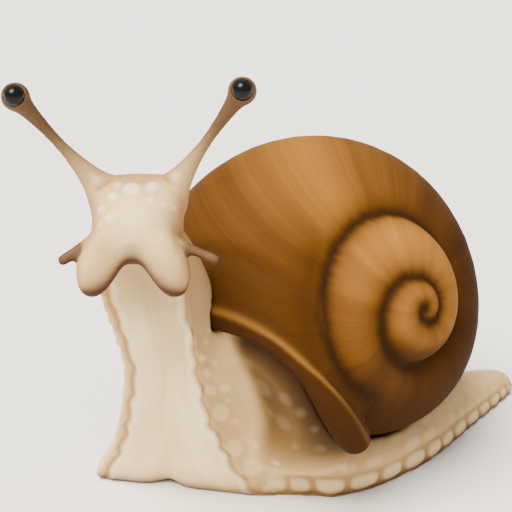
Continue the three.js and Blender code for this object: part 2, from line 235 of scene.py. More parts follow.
class Field:
    """A socket with arithmetic. NumPy's exp, sin and cos call the methods of the same name."""

    def __init__(self, tree, socket):
        self.tree, self.socket = tree, socket

    def calculate(self, operation, *others):
        values = [self.socket] + [other.socket if isinstance(other, Field) else other for other in others]
        node = add_node(self.tree, "ShaderNodeMath", {"operation": operation}, dict(enumerate(values)))
        return Field(self.tree, node.outputs[0])

    def __add__(self, other):
        return self.calculate("ADD", other)

    def __sub__(self, other):
        return self.calculate("SUBTRACT", other)

    def __mul__(self, other):
        return self.calculate("MULTIPLY", other)

    def __truediv__(self, other):
        return self.calculate("DIVIDE", other)

    def __neg__(self):
        return self * -1.0

    def __rsub__(self, other):
        return -self + other

    def exp(self):
        return self.calculate("EXPONENT")

    def sin(self):
        return self.calculate("SINE")

    def cos(self):
        return self.calculate("COSINE")

    __radd__ = __add__
    __rmul__ = __mul__


def hex_color(text):
    """A linear colour from an sRGB hex value."""
    values = [int(text[i : i + 2], 16) / 255 for i in (1, 3, 5)]
    return [v / 12.92 if v <= 0.04045 else ((v + 0.055) / 1.055) ** 2.4 for v in values] + [1.0]


print("chestnut in linear light:", [round(value, 3) for value in hex_color("#8a5423")[:3]])

# %% [markdown]
# ## The shell's rule
#
# A snail only adds shell at the lip, and the lip keeps its shape while it grows. So the shell is one ring
# that turns round an axis, slides along it and swells. Seen backwards from the lip, the coil's radius and
# its depth below the apex both fall, and the share that they lose grows with each turn. The last half turn
# departs from that: it widens and shifts towards the apex, and two pinches narrow the coil about one turn
# back and a little short of two. Growth lines aren't square to the coil: they fall back from the seam to
# the base.

# %% Shell sizes and law
SHELL = {
    "end": math.radians(237.6), "turns": 3.3,
    "radius": 26.2, "depth": 33.2, "narrowing": (0.007, 0.311), "sinking": (0.616, 0.259),
    "last": 0.423, "rise": 8.0, "widen": 2.0, "swell": 0.11,
    "across": 0.49, "along": 0.572, "clear": 0.02, "slant": math.radians(51.7),
    "pinches": ((0.15, 1.75, 0.3), (0.13, 0.94, 0.12)),
    "wall": 1.1, "start": 0.005, "mouth": -0.06, "inner": 0.72, "cavity": 0.28,
}
APEX = np.array((21.02, -4.97, 31.61))
AXIS_TURN, AXIS_LIFT = math.radians(-7.6), math.radians(19.2)


def unit(vector):
    return np.asarray(vector, float) / np.linalg.norm(vector)


shell_axis = np.array((
    math.cos(AXIS_TURN) * math.cos(AXIS_LIFT),
    math.sin(AXIS_TURN) * math.cos(AXIS_LIFT),
    math.sin(AXIS_LIFT),
))
shell_up = unit(np.array((0, 0, 1)) - shell_axis * shell_axis[2])
shell_back = np.cross(shell_up, shell_axis)
SHELL_FRAME = np.column_stack([shell_back, shell_up, shell_axis])


def bell(value, at, wide):
    """1 at one place, and falling smoothly to 0 on both sides of it."""
    past = (value - at) / wide
    return np.exp(-(past * past))


def whorl_sizes(n):
    """Radius, depth and half length along the axis of the coil, n turns back from the lip."""
    ending = bell(n, 0, SHELL["last"])

    def fallen(start, rate):
        return start * np.exp(-(rate[0] * n + rate[1] * (n * n)))

    radius = fallen(SHELL["radius"], SHELL["narrowing"])
    for share, at, over in SHELL["pinches"]:
        radius = radius * (1 - share * bell(n, at, over))
    radius = radius + SHELL["widen"] * ending
    depth = fallen(SHELL["depth"], SHELL["sinking"]) - SHELL["rise"] * ending
    return radius, depth, (SHELL["along"] + SHELL["swell"] * ending) * radius


def whorl_law(n, v, grow):
    """A point in the shell's own frame, with the axis along z and the apex at zero."""
    radius, depth, along = whorl_sizes(n)
    out = (SHELL["across"] + SHELL["clear"]) * radius + (SHELL["across"] * radius + grow) * np.cos(v)
    angle = SHELL["end"] - TURN * n - SHELL["slant"] * (1 - np.sin(v)) * 0.5
    return out * np.cos(angle), out * np.sin(angle), (along + grow) * np.sin(v) - depth


def whorl_points(n, v, grow):
    return APEX + np.stack(whorl_law(n, v, grow), axis=-1) @ SHELL_FRAME.T


radius, depth, along = whorl_sizes(np.array([0.0, 1.0, 2.0, 3.0]))
print("coil radius turn by turn:", radius.round(1), "depth:", depth.round(1))

# %% [markdown]
# ## Growing the shell with Geometry Nodes
#
# A form that follows a rule is a good first use of Geometry Nodes: a flat grid is wrapped into the coil by
# moving each of its points with the law above. One side of the grid runs along the coil and the other round
# the whorl. A one-dimensional noise along the coil lifts the surface a little, which gives the uneven growth
# lines of the real shell. The tree ends in Realize Instances and Set Material.

# %% The coil's tree
COIL_INPUTS = {
    "First": 0.0, "Last": 1.0, "Rows": 96, "Sides": 64, "Grow": 0.0, "Relief": 0.0, "Lines": 60.0, "Seed": 7,
}
WELD = 0.001


def coil_tree():
    tree = bpy.data.node_groups.new("coil", "GeometryNodeTree")
    tree.interface.new_socket(name="Geometry", in_out="OUTPUT", socket_type="NodeSocketGeometry")
    for name, value in COIL_INPUTS.items():
        kind = "NodeSocketInt" if isinstance(value, int) else "NodeSocketFloat"
        tree.interface.new_socket(name=name, in_out="INPUT", socket_type=kind).default_value = value
    tree.interface.new_socket(name="Material", in_out="INPUT", socket_type="NodeSocketMaterial")
    given = tree.nodes.new("NodeGroupInput").outputs
    first, last, grow, relief, lines, seed = (
        Field(tree, given[name]) for name in ("First", "Last", "Grow", "Relief", "Lines", "Seed")
    )
    grid = add_node(tree, "GeometryNodeMeshGrid", None, {
        "Size X": 1.0, "Size Y": 1.0, "Vertices X": given["Rows"], "Vertices Y": given["Sides"],
    })
    position = tree.nodes.new("GeometryNodeInputPosition").outputs[0]
    place = add_node(tree, "ShaderNodeSeparateXYZ", None, {0: position})
    n = first + (last - first) * (Field(tree, place.outputs["X"]) + 0.5)
    v = (Field(tree, place.outputs["Y"]) + 0.5) * TURN
    noise = add_node(tree, "ShaderNodeTexNoise", {"noise_dimensions": "1D"}, {
        "W": (n * lines + seed).socket, "Scale": 1.0, "Detail": 2.0, "Roughness": 0.6,
    })
    lifted = grow + relief * (Field(tree, noise.outputs[0]) - 0.5)
    x, y, z = whorl_law(n, v, lifted)
    spot = add_node(tree, "ShaderNodeCombineXYZ", None, {0: x.socket, 1: y.socket, 2: z.socket})
    moved = add_node(tree, "GeometryNodeSetPosition", None, {
        "Geometry": grid.outputs[0], "Position": spot.outputs[0],
    })
    closed = add_node(tree, "GeometryNodeMergeByDistance", None, {
        "Geometry": moved.outputs[0], "Distance": WELD,
    })
    real = add_node(tree, "GeometryNodeRealizeInstances", None, {"Geometry": closed.outputs[0]})
    done = add_node(tree, "GeometryNodeSetMaterial", None, {
        "Geometry": real.outputs[0], "Material": given["Material"],
    })
    add_node(tree, "NodeGroupOutput", None, {0: done.outputs[0]})
    return tree


coil = coil_tree()
print("the coil's tree has", len(coil.nodes), "nodes")


# %% Lengths of coil
def coil_piece(tree, material, **sizes):
    """One length of coil as a closed object; a modifier's input is set by its socket's identifier."""
    made = mesh_object("coil_piece", [(0, 0, 0)], [])
    modifier = made.modifiers.new("coil", "NODES")
    modifier.node_group = tree
    for item in tree.interface.items_tree:
        if item.item_type == "SOCKET" and item.in_out == "INPUT":
            modifier[item.identifier] = {**COIL_INPUTS, "Material": material, **sizes}[item.name]
    apply_modifiers(made)
    work = bmesh.new()
    work.from_mesh(made.data)
    bmesh.ops.holes_fill(work, edges=[edge for edge in work.edges if edge.is_boundary])
    bmesh.ops.triangulate(work, faces=[face for face in work.faces if len(face.verts) > 4])
    bmesh.ops.recalc_face_normals(work, faces=work.faces)
    work.to_mesh(made.data)
    work.free()
    made.data.transform(Matrix.Translation(APEX) @ Matrix(SHELL_FRAME.tolist()).to_4x4())
    return made


def coil_thirds(tree, material, first, last, rows_per_turn, **sizes):
    """A stretch of coil, united from thirds of a turn, so that no piece meets itself."""
    ends = np.linspace(first, last, math.ceil((last - first) * 3) + 1)
    pieces = [
        coil_piece(tree, material, First=a, Last=b, Rows=max(3, round((b - a) * rows_per_turn)), **sizes)
        for a, b in zip(ends, ends[1:])
    ]
    whole = pieces[0]
    for piece in pieces[1:]:
        boolean(whole, piece, "UNION")
    return whole


test = coil_piece(coil, None, First=0.0, Last=0.3)
print("a test piece has", len(test.data.vertices), "points")
bpy.data.objects.remove(test)

# %% [markdown]
# ## The opening and its lip
#
# The shell ends in a flat opening that faces forwards and down. Everything of the coil in front of that
# plane is cut away, the inside is hollowed to the thickness of the wall, and a grown snail's rolled lip is
# laid along the edge as a round bead, thickest on the side of the spire. A bead needs no more than a path
# and a thickness, so one function sweeps it, and the tentacles later on.

# %% Lip
OPENING = unit((0.191, -0.876, -0.444))
OPENING_REACH = 11.31
LIP = {
    "first": -0.012, "top": 0.156, "points": 9, "sunk": 0.6, "fineness": 8, "sides": 28,
    "thin": 0.9, "thick": 0.7, "thick_at": 2.5, "thick_over": 3,
}
LIP_CREST, LIP_NEAR, LIP_FAR = math.radians(45), math.radians(92), math.radians(-80)
HALVINGS = 24
TONGUE_STEPS = 40
POLE = 0.02


def stalk(points, radii, reference, steps, sides):
    """A round form along a smooth path, with a radius at each of some even places."""
    places = np.linspace(0, len(points) - 1, steps)
    path = between(points, places)
    thickness = between(np.asarray(radii)[:, None], places * (len(radii) - 1) / (len(points) - 1))
    forward = np.gradient(path, axis=0)
    aside = np.cross(forward, reference)
    aside /= np.linalg.norm(aside, axis=1, keepdims=True)
    other = np.cross(forward, aside)
    other /= np.linalg.norm(other, axis=1, keepdims=True)
    angle = (np.arange(sides) * TURN / sides)[:, None, None]
    ring = np.cos(angle) * aside + np.sin(angle) * other
    return loft((path + ring * thickness).transpose(1, 0, 2))


def ball_form(centre, radius, sides=32):
    polar = np.linspace(POLE, math.pi - POLE, sides // 2)[:, None]
    around = np.arange(sides) * TURN / sides
    x, y = np.sin(polar) * np.cos(around), np.sin(polar) * np.sin(around)
    return loft(np.asarray(centre) + radius * np.stack([x, y, np.cos(polar) + 0 * around], axis=-1))


def lip_places(turns, behind):
    """Where growth lines cross the opening's plane, by halving the way between two points beside it."""
    ahead, hidden = np.full(len(turns), LIP_CREST), np.full(len(turns), behind)
    for _ in range(HALVINGS):
        middle = (ahead + hidden) / 2
        in_front = whorl_points(turns, middle, 0) @ OPENING > OPENING_REACH
        ahead, hidden = np.where(in_front, middle, ahead), np.where(in_front, hidden, middle)
    return whorl_points(turns, ahead, -LIP["sunk"])


# The lip's lower end is a rounded tongue: rows hold a place and a radius.
TONGUE = [
    (13.7, -22.8, 26.9, 0.8), (15.1, -21.3, 24.3, 1.6), (16.4, -19.4, 21.0, 2.2), (17.2, -17.4, 17.4, 2.5),
    (17.35, -15.0, 14.1, 2.55),
]


def tongue(grow):
    rows = np.array(TONGUE)
    ends = [ball_form(row[:3], row[3] + grow) for row in (rows[0], rows[-1])]
    return [stalk(rows[:, :3], rows[:, 3] + grow, OPENING, TONGUE_STEPS, LIP["sides"])] + ends


def lip_bead(grow):
    turns = np.linspace(LIP["first"], LIP["top"], LIP["points"])
    path = np.vstack([lip_places(turns, LIP_NEAR), lip_places(turns[-2::-1], LIP_FAR)])
    swollen = bell(np.arange(len(path)), LIP["thick_at"], LIP["thick_over"])
    radii = LIP["thin"] + LIP["thick"] * swollen + grow
    return stalk(path, radii, OPENING, len(path) * LIP["fineness"], LIP["sides"])


print("the lip bead has", len(lip_bead(0)[0]), "points")

# %% [markdown]
# ## Chestnut shell
#
# Shell is lime under a thin horny skin, which gives a dull sheen over chestnut brown. Its colour changes
# along the coil, as the snail's food and the time of year did, and painted light and shade follow the turns
# too, so most patterns are one-dimensional and read the turn number of each point, which is a value kept on
# the mesh. Fine bands, about 160 to a turn, are the growth lines. Darker and paler places are masks, also
# kept on the mesh: most of them are painted shade, and the lip's pale ridge is a painted highlight.

# %% Shell material
def attribute(tree, name):
    return add_node(tree, "ShaderNodeAttribute", {"attribute_name": name}).outputs["Fac"]


def colour_ramp(tree, value, stops):
    """A colour for each value: stops are (place, hex) pairs."""
    ramp = add_node(tree, "ShaderNodeValToRGB", None, {"Fac": value})
    elements = ramp.color_ramp.elements
    while len(elements) < len(stops):
        elements.new(1.0)
    for element, (place, text) in zip(elements, stops):
        element.position, element.color = place, hex_color(text)
    return ramp.outputs["Color"]


def mixed(tree, share, first, second, blend="MIX"):
    settings = {"data_type": "RGBA", "blend_type": blend}
    return add_node(tree, "ShaderNodeMix", settings, {0: share, 6: first, 7: second}).outputs[2]


def mixed_value(tree, share, first, second):
    return add_node(tree, "ShaderNodeMix", {"data_type": "FLOAT"}, {0: share, 2: first, 3: second}).outputs[0]


def ranged(tree, value, low, high, new_low=0.0, new_high=1.0):
    inputs = {0: value, 1: low, 2: high, 3: new_low, 4: new_high}
    return add_node(tree, "ShaderNodeMapRange", None, inputs).outputs[0]


def new_material(name, **settings):
    """A material with its Principled shader; constant settings go straight onto the shader's sockets."""
    material = bpy.data.materials.new(name)
    material.use_nodes = True
    shader = material.node_tree.nodes["Principled BSDF"]
    for socket, value in settings.items():
        shader.inputs[socket.replace("_", " ")].default_value = value
    return material, material.node_tree, shader


# Tones by turn number, which multiply the brown, are painted light and shade: darker where the coil lies low
# or turned from the sun, palest where its top catches the light. Then masks, each with its strength and
# colour;
# those along the seams, in the lip's grooves, on its edge and on faces turned down are painted shade, and the
# lip's ridge has a painted highlight.
TURN_SHADING_TO = 3.4
TURN_SHADING = [
    (0.0, "#7c7468"), (0.1, "#80786a"), (0.2, "#948a78"), (0.27, "#bcb49c"), (0.35, "#fffad4"),
    (0.43, "#c4bca8"), (0.5, "#988e80"), (0.6, "#786e62"), (0.75, "#6e6458"), (0.92, "#9a8e80"),
    (1.06, "#b0a492"), (1.18, "#c8bea8"), (1.38, "#fffcdc"), (1.62, "#f0e8cc"), (1.88, "#ccc4ae"),
    (2.15, "#dcd4bc"), (2.45, "#f8f0d4"), (3.3, "#dcd4c0"),
]
SHELL_TINTS = [
    ("spire", 0.16, "#cc8c40"), ("shade", 0.65, "#442608"), ("seam", 0.95, "#2c1a08"),
    ("valley", 0.65, "#44290e"), ("ridge", 0.4, "#b07c3a"), ("edge_shade", 0.85, "#38200a"),
    ("under", 0.85, "#301a06"),
]


def tinted(tree, colour, tints):
    """A colour with one tint after another laid over it, each by its own mask on the mesh."""
    for name, strength, text in tints:
        share = ranged(tree, attribute(tree, name), 0.0, 1.0, 0.0, strength)
        colour = mixed(tree, share, colour, hex_color(text))
    return colour


def shell_finish():
    material, tree, shader = new_material("chestnut_shell", Roughness=0.7, Specular_IOR_Level=0.03)
    growth = Field(tree, attribute(tree, "growth"))
    object_place = add_node(tree, "ShaderNodeTexCoord").outputs["Object"]

    def bands(per_turn, detail):
        settings = {"noise_dimensions": "1D"}
        inputs = {"W": (growth * per_turn).socket, "Scale": 1.0, "Detail": detail, "Roughness": 0.65}
        return add_node(tree, "ShaderNodeTexNoise", settings, inputs).outputs[0]

    calm = ranged(tree, growth.socket, 2.1, 2.8)
    wide_bands = mixed_value(tree, calm, bands(14.0, 2.0), 0.5)
    broad = colour_ramp(tree, wide_bands, [(0.3, "#80562a"), (0.5, "#8e6230"), (0.7, "#9c6c34")])
    fine = colour_ramp(tree, bands(160.0, 3.0), [(0.3, "#9a9a9a"), (0.7, "#ffffff")])
    inputs = {"Vector": object_place, "Scale": 90.0, "Detail": 3.0}
    cloudy = add_node(tree, "ShaderNodeTexNoise", None, inputs)
    clouds = colour_ramp(tree, cloudy.outputs[0], [(0.3, "#c8c0b4"), (0.7, "#ffffff")])
    brown = mixed(tree, 0.2, broad, fine, "MULTIPLY")
    brown = mixed(tree, 0.3, brown, clouds, "MULTIPLY")
    # Painted light and shade by turn number, laid over the brown.
    tones = [(n / TURN_SHADING_TO, tone) for n, tone in TURN_SHADING]
    turn_shading = colour_ramp(tree, (growth * (1 / TURN_SHADING_TO)).socket, tones)
    brown = tinted(tree, mixed(tree, 1.0, brown, turn_shading, "MULTIPLY"), SHELL_TINTS)
    tree.links.new(brown, shader.inputs["Base Color"])
    bump = add_node(tree, "ShaderNodeBump", None, {
        "Strength": 0.35, "Distance": 0.00012, "Height": bands(220.0, 3.0),
    })
    tree.links.new(bump.outputs[0], shader.inputs["Normal"])
    return material


shell_material = shell_finish()
print("made", shell_material.name)

# %% [markdown]
# ## Putting the shell together
#
# The order keeps each joint simple: unite the outer coil, cut the opening, add the inner coil and the pillar
# that it winds round, take out the hollow, and add the lip. A coil drawn as one surface would meet itself
# where whorls touch, which a Boolean can't take, so it is made in thirds of a turn.

# %% Shell
PILLAR = {"top": 0.5, "tip": 0.6, "past": 0.25, "foot": 2.0, "sides": 32}
OUTER_COIL = {"first": SHELL["start"], "last": SHELL["inner"], "rows_per_turn": 320, "Sides": 88}
INNER_COIL = {"first": SHELL["inner"], "last": SHELL["turns"], "rows_per_turn": 192, "Sides": 72}
OUTER_RELIEF, INNER_RELIEF = 0.2, 0.08
HOLLOW = {"First": SHELL["mouth"], "Last": SHELL["cavity"], "Grow": -SHELL["wall"], "Rows": 96}
INSIDE = 0.1


def pillar():
    depths = PILLAR["top"], whorl_sizes(np.array(0.0))[1] + PILLAR["past"] * SHELL["radius"]
    sides = PILLAR["sides"]
    angle = np.arange(sides) * TURN / sides
    rings = [
        np.column_stack([radius * np.cos(angle), radius * np.sin(angle), np.full(sides, -depth)])
        for depth, radius in zip(depths, (PILLAR["tip"], PILLAR["foot"]))
    ]
    return loft(APEX + np.array(rings) @ SHELL_FRAME.T)


def make_shell():
    shell = coil_thirds(coil, shell_material, **OUTER_COIL, Relief=OUTER_RELIEF, Grow=-INSIDE)
    cut_in_front(shell, OPENING, OPENING_REACH)
    inner = coil_thirds(coil, shell_material, **INNER_COIL, Relief=INNER_RELIEF, Grow=-INSIDE)
    boolean(shell, inner, "UNION")
    boolean(shell, mesh_object("pillar", *pillar()), "UNION")
    hollow = coil_piece(coil, shell_material, **HOLLOW)
    boolean(hollow, coil_thirds(coil, shell_material, **INNER_COIL), "DIFFERENCE")
    boolean(shell, hollow, "DIFFERENCE")
    for form in [lip_bead(-INSIDE)] + tongue(-INSIDE):
        boolean(shell, mesh_object("lip", *form), "UNION")
    shell.data.materials.clear()
    shell.data.materials.append(shell_material)
    return shell


shell = make_shell()
print("the joined shell has", len(shell.data.polygons), "faces")

# %% [markdown]
# ## Values kept on a surface
#
# Patterns that follow a form are worked out point by point and kept on the mesh as named values, which a
# material reads. A ramp and a bell turn distances into soft masks, and the mean of a point's neighbours
# smooths a value or the surface itself.


# %% Masks, smoothing and nearest points
def keep_attribute(made, name, values):
    layer = made.data.attributes.get(name) or made.data.attributes.new(name, "FLOAT", "POINT")
    layer.data.foreach_set("value", np.asarray(values, np.float32))


def ramp(value, low, high):
    """0 below low and 1 above high, with a smooth step between."""
    share = np.clip((np.asarray(value, float) - low) / (high - low), 0, 1)
    return share * share * (3 - 2 * share)


def neighbour_mean(values, edges):
    """The mean of each point's neighbours, for an array of values or of points."""
    count = len(values)
    a, b = edges.T
    degree = np.bincount(a, minlength=count) + np.bincount(b, minlength=count)
    columns = values.reshape(count, -1).T
    sums = [np.bincount(a, column[b], count) + np.bincount(b, column[a], count) for column in columns]
    return (np.array(sums) / np.maximum(degree, 1)).T.reshape(values.shape)


def smoothed(values, edges, rounds, strength=0.5):
    for _ in range(rounds):
        values = values + strength * (neighbour_mean(values, edges) - values)
    return values


def nearest(known, wanted):
    """The number of the known point nearest to each wanted one, and how far away it is."""
    tree = KDTree(len(known))
    for number, point in enumerate(known.tolist()):
        tree.insert(point, number)
    tree.balance()
    found = [tree.find(point)[1:] for point in wanted.tolist()]
    return np.array([number for number, _ in found]), np.array([distance for _, distance in found])


print("a ramp from 0 to 2 gives", ramp([0.5, 1.0, 1.5], 0, 2), "at 0.5, 1 and 1.5")

# %% [markdown]
# ## Turn numbers
#
# A remesh turns the joined shell into one even surface, but the coil's own coordinates are lost on the way.
# So the turn number of each point is found again from the law: its angle allows one place on every whorl,
# and the whorl whose surface lies nearest is the right one. Where that number jumps from one point to the
# next, two whorls meet, and that is the seam.

# %% Turn numbers and seams
# Guesses go back from the lip in half turns. Each is improved in a few rounds, and none may leave the coil.
FIRST_GUESS, GUESS_STEP, PAST_END, ROUNDS = 0.15, 0.5, 0.3, 5
COIL_FROM, COIL_TO = -0.12, SHELL["turns"] + 0.1
FAR_OFF = 9.0
STEADYING = 15


def growth_of(points, edges):
    """How many turns back from the lip each point lies."""
    x, y, z = ((points - APEX) @ SHELL_FRAME).T
    angle, reach = np.arctan2(y, x), np.hypot(x, y)

    def section(growth):
        """A point's place in the whorl's section, with the surface at 1, and the section's size."""
        radius, depth, along = whorl_sizes(growth)
        wide = SHELL["across"] * radius
        out = (reach - (SHELL["across"] + SHELL["clear"]) * radius) / wide
        return out, (z + depth) / along, np.minimum(wide, along)

    found, closest = np.zeros(len(points)), np.full(len(points), np.inf)
    for guess in np.arange(FIRST_GUESS, SHELL["turns"] + PAST_END, GUESS_STEP):
        growth = np.full(len(points), guess)
        for _ in range(ROUNDS):
            out, up, _ = section(growth)
            turned = (SHELL["end"] - SHELL["slant"] * (1 - up / np.hypot(out, up)) * 0.5 - angle) / TURN
            growth = turned + np.round(guess - turned)
        out, up, size = section(growth)
        off = np.abs(np.hypot(out, up) - 1) * size + FAR_OFF * ((growth < COIL_FROM) | (growth > COIL_TO))
        off = smoothed(np.minimum(off, FAR_OFF), edges, STEADYING)
        found, closest = np.where(off < closest, growth, found), np.minimum(off, closest)
    return found


def joint_distance(points, edges, growth):
    """How far each point is from where one whorl gives way to another, so that the growth jumps."""
    jumps = edges[np.abs(growth[edges[:, 0]] - growth[edges[:, 1]]) > 0.5].ravel()
    return nearest(points[np.unique(jumps)], points)[1]


SHELL_VOXEL, SHELL_SMOOTHING = 0.4, 3
remesh(shell, SHELL_VOXEL)
move_points(shell, smoothed(points_of(shell), edges_of(shell), SHELL_SMOOTHING))
growth = growth_of(points_of(shell), edges_of(shell))
joint = joint_distance(points_of(shell), edges_of(shell), growth)
print("turn numbers run from", round(float(growth.min()), 2), "to", round(float(growth.max()), 2))

# %% [markdown]
# ## Grooves and shade on the shell
#
# A fine groove and a broader one lie behind the lip, with low swellings beside them, and darker lines run
# along the seams where whorls meet. Each groove follows the lip, so it depends only on the distance behind
# the opening. The grooves are real relief; the dark over them, beside the seams, on the lip's edge and on
# faces turned down is painted shade, and the paler ridge along the lip is a painted highlight.

# %% Shell surface
# Bands behind the lip, by the distance of the middle, the width, and for relief the height.
LIP_RELIEF = ((2.2, 0.5, -0.25), (4.3, 1.5, 0.22), (7.2, 1.2, -0.4), (10.0, 1.6, 0.12))
# Where the painted highlight on the lip's ridge and the painted shade in its fine and broad grooves lie:
# distance behind the opening, and width.
LIP_RIDGE_HIGHLIGHT, LIP_LINE, LIP_VALLEY = (1.0, 0.4), (2.1, 0.4), (7.0, 1.6)
# The seam's dark line and its soft painted shade: half width high on the shell, and what is added low down,
# where both spread as painted shade into the notch beside the lip's tongue and under the shell.
SEAM_WIDTHS = {"seam": (0.8, 0.9), "shade": (2.4, 3.0)}


def finish_shell(made):
    points, normals = points_of(made), normals_of(made)
    behind = OPENING_REACH - points @ OPENING
    axle = APEX - np.outer(whorl_sizes(growth)[1], shell_axis)
    outward = np.einsum("ij,ij->i", normals, points - axle) > 0
    young = ramp(-growth, -0.4, -0.3)
    lift = sum(size * bell(behind, at, wide) for at, wide, size in LIP_RELIEF)
    move_points(made, points + (lift * young * outward * ramp(behind, 0.3, 1.2))[:, None] * normals)
    wider = ramp(-points[:, 2], -25, -17)
    # Painted shade on the lip's edge face and on the tongue's low end.
    tongue_end = ramp(-points[:, 2], -27, -19) * ramp(-behind, -3.5, -1.5)
    fields = {name: bell(joint, 0, width + more * wider) for name, (width, more) in SEAM_WIDTHS.items()}
    fields |= {
        "growth": growth,
        "spire": ramp(growth, 1.0, 1.4),
        # Painted shade on every face that turns down.
        "under": ramp(-normals[:, 2], -0.15, 0.6),
        # A painted highlight on the lip's ridge, and painted shade in its two grooves.
        "ridge": young * outward * bell(behind, *LIP_RIDGE_HIGHLIGHT),
        "valley": young * outward * np.maximum(bell(behind, *LIP_LINE), 0.85 * bell(behind, *LIP_VALLEY)),
        "edge_shade": young * np.maximum(ramp(-behind, -0.8, -0.2), 0.75 * tongue_end),
    }
    for name, values in fields.items():
        keep_attribute(made, name, values)


finish_shell(shell)
shell.name = "shell_surface"
print("shell:", len(shell.data.polygons), "faces")

# %% [markdown]
# ## The flesh as forms
#
# Foot and neck are one long ribbon: it lies on the floor behind and rises in front, so the pale sole shows
# there. Each row of its table gives the middle of the sole, the ribbon's turn and pitch in degrees, its reach
# to the left and right edges, its thickness, a power that squares it off, and the bulge of its left flank.
# Head, lobes and tentacles are small forms of their own, and a torso fills the space between the ribbon and
# the shell's opening.

# %% Sizes of the flesh
RIBBON = [
    (8.2, 36.0, 0, -12, 0, 0.7, 1.0, 1.6, 1, 0),
    (8.1, 35.0, 0, -12, 0, 2.0, 2.8, 2.8, 1, 0),
    (7.7, 32.0, 0, -10, 0, 3.4, 4.2, 3.8, 1, 0),
    (5.5, 20.0, 0, -8, 0, 7.6, 8.0, 6.0, 1, 0),
    (3.0, 8.0, 0, -6, 0, 11.8, 12.0, 9.0, 0.9, 0.3),
    (0.5, -3.0, 0, -5, 0, 13.6, 13.0, 10.5, 0.8, 1.2),
    (-3.0, -12.0, 0, 5, 0, 14.9, 12.5, 10.0, 0.85, 1.0),
    (-7.0, -20.0, 0, 22, 2, 17.4, 11.5, 8.0, 1, 0.5),
    (-8.8, -27.1, 0, 33, 26, 14.6, 10.8, 6.5, 1, 4.0),
    (-5.6, -27.5, 6.9, 34, 58, 7.9, 10.0, 8.8, 0.8, 10.5),
    (-3.4, -29.6, 12.7, 32, 65, 6.0, 8.7, 11.5, 0.75, 10.2),
    (-1.6, -31.3, 18.9, 32, 68, 4.4, 7.6, 11.5, 0.75, 8.6),
    (-0.1, -32.9, 24.7, 32, 70, 3.7, 7.1, 10.5, 0.8, 5.4),
    (1.1, -34.3, 30.0, 33, 73, 3.4, 7.9, 10.0, 0.8, 3.4),
    (1.1, -35.4, 33.3, 37, 78, 3.7, 7.7, 9.5, 0.8, 3.0),
    (0.9, -36.3, 36.4, 41, 80, 4.2, 7.4, 9.2, 0.8, 3.1),
    (0.2, -37.7, 41.0, 45, 80, 5.4, 6.4, 8.6, 0.8, 1.9),
    (-0.5, -38.2, 46.5, 45, 80, 5.0, 5.0, 6.5, 0.8, 0),
]
EDGE = 0.8
FURROW = {"depth": 1.3, "width": 2.0, "rows": (6.5, 8.0)}
HEAD = {"facing": math.radians(45), "middle": -27.3, "square": 0.8, "sides": 48, "steps": 31, "rows": [
    (43.5, -30.5, -25.0, 3.5, 0.0), (44.2, -33.0, -22.0, 5.0, 0.0), (46.0, -35.0, -20.5, 5.8, 0.2),
    (48.5, -35.6, -20.5, 5.7, 0.5), (51.0, -35.3, -21.5, 5.75, 0.7), (53.0, -33.8, -24.0, 5.5, 0.7),
    (54.0, -31.8, -27.5, 3.8, 0.7),
]}
CURTAIN = {"square": 0.75, "shift": 0.15, "sides": 40, "steps": 71, "half": [
    (0.0, -35.4, -31.4, 44.9, 50.0), (1.2, -35.5, -31.4, 44.3, 50.0), (2.4, -35.8, -31.2, 42.5, 50.0),
    (3.6, -36.2, -31.0, 41.0, 49.8), (4.8, -36.3, -30.9, 40.3, 48.9), (6.0, -35.9, -31.3, 40.5, 46.8),
    (6.7, -35.0, -32.2, 41.3, 45.2), (7.05, -34.0, -33.2, 42.6, 44.2),
]}
UPPER = {"out": 3.6, "lean": 0.6, "root": (-28.5, 51.5), "radii": (3.0, 1.55, 0.8, 0.95, 1.5), "bulb": 1.75}
UPPER_TIPS = {1: (-13.6, -33.6, 66.4), -1: (-40.2, -33.6, 65.7)}
LOWER = {"out": 5.2, "lean": 0.0, "root": (-33.0, 47.2), "radii": (0.85, 0.75, 0.72, 0.82)}
LOWER_TIPS = {1: (-17.1, -34.5, 45.5), -1: (-35.6, -34.5, 45.4)}
EYE = {"radius": 1.28, "ahead": 0.75, "gaze": math.radians(22), "gap": 0.05, "sides": 48}
TORSO = {"inset": 2.2, "overlap": 0.7, "wrap": (-0.16, 0.2), "left": 30.0, "square": 0.7, "rows": [
    (0, -8.5, 12.5, -9.4), (8, -8.0, 12.5, -8.8), (14, -7.5, 13.2, -9.0), (20, -9.0, 13.5, -10.5),
    (26, -11.5, 13.8, -11.5), (32, -14.0, 14.0, -12.5),
]}
MANTLE_SUNK = 1.5
GAP = 0.3
print("the ribbon has", len(RIBBON), "rows and the head", len(HEAD["rows"]))


# %% Ribbon
def ribbon_frames(rows):
    """Middle of the sole and the directions to the left side and out of the back, for each place."""
    x, y, z, turn, pitch = between(RIBBON, rows)[:, :5].T
    turn, pitch = np.radians(turn), np.radians(pitch)
    level = np.column_stack([np.sin(turn), -np.cos(turn), 0 * turn])
    upright = np.array((0, 0, 1.0))
    side = np.column_stack([np.cos(turn), np.sin(turn), 0 * turn])
    back = np.cos(pitch)[:, None] * upright - np.sin(pitch)[:, None] * level
    return np.column_stack([x, y, z]), side, back


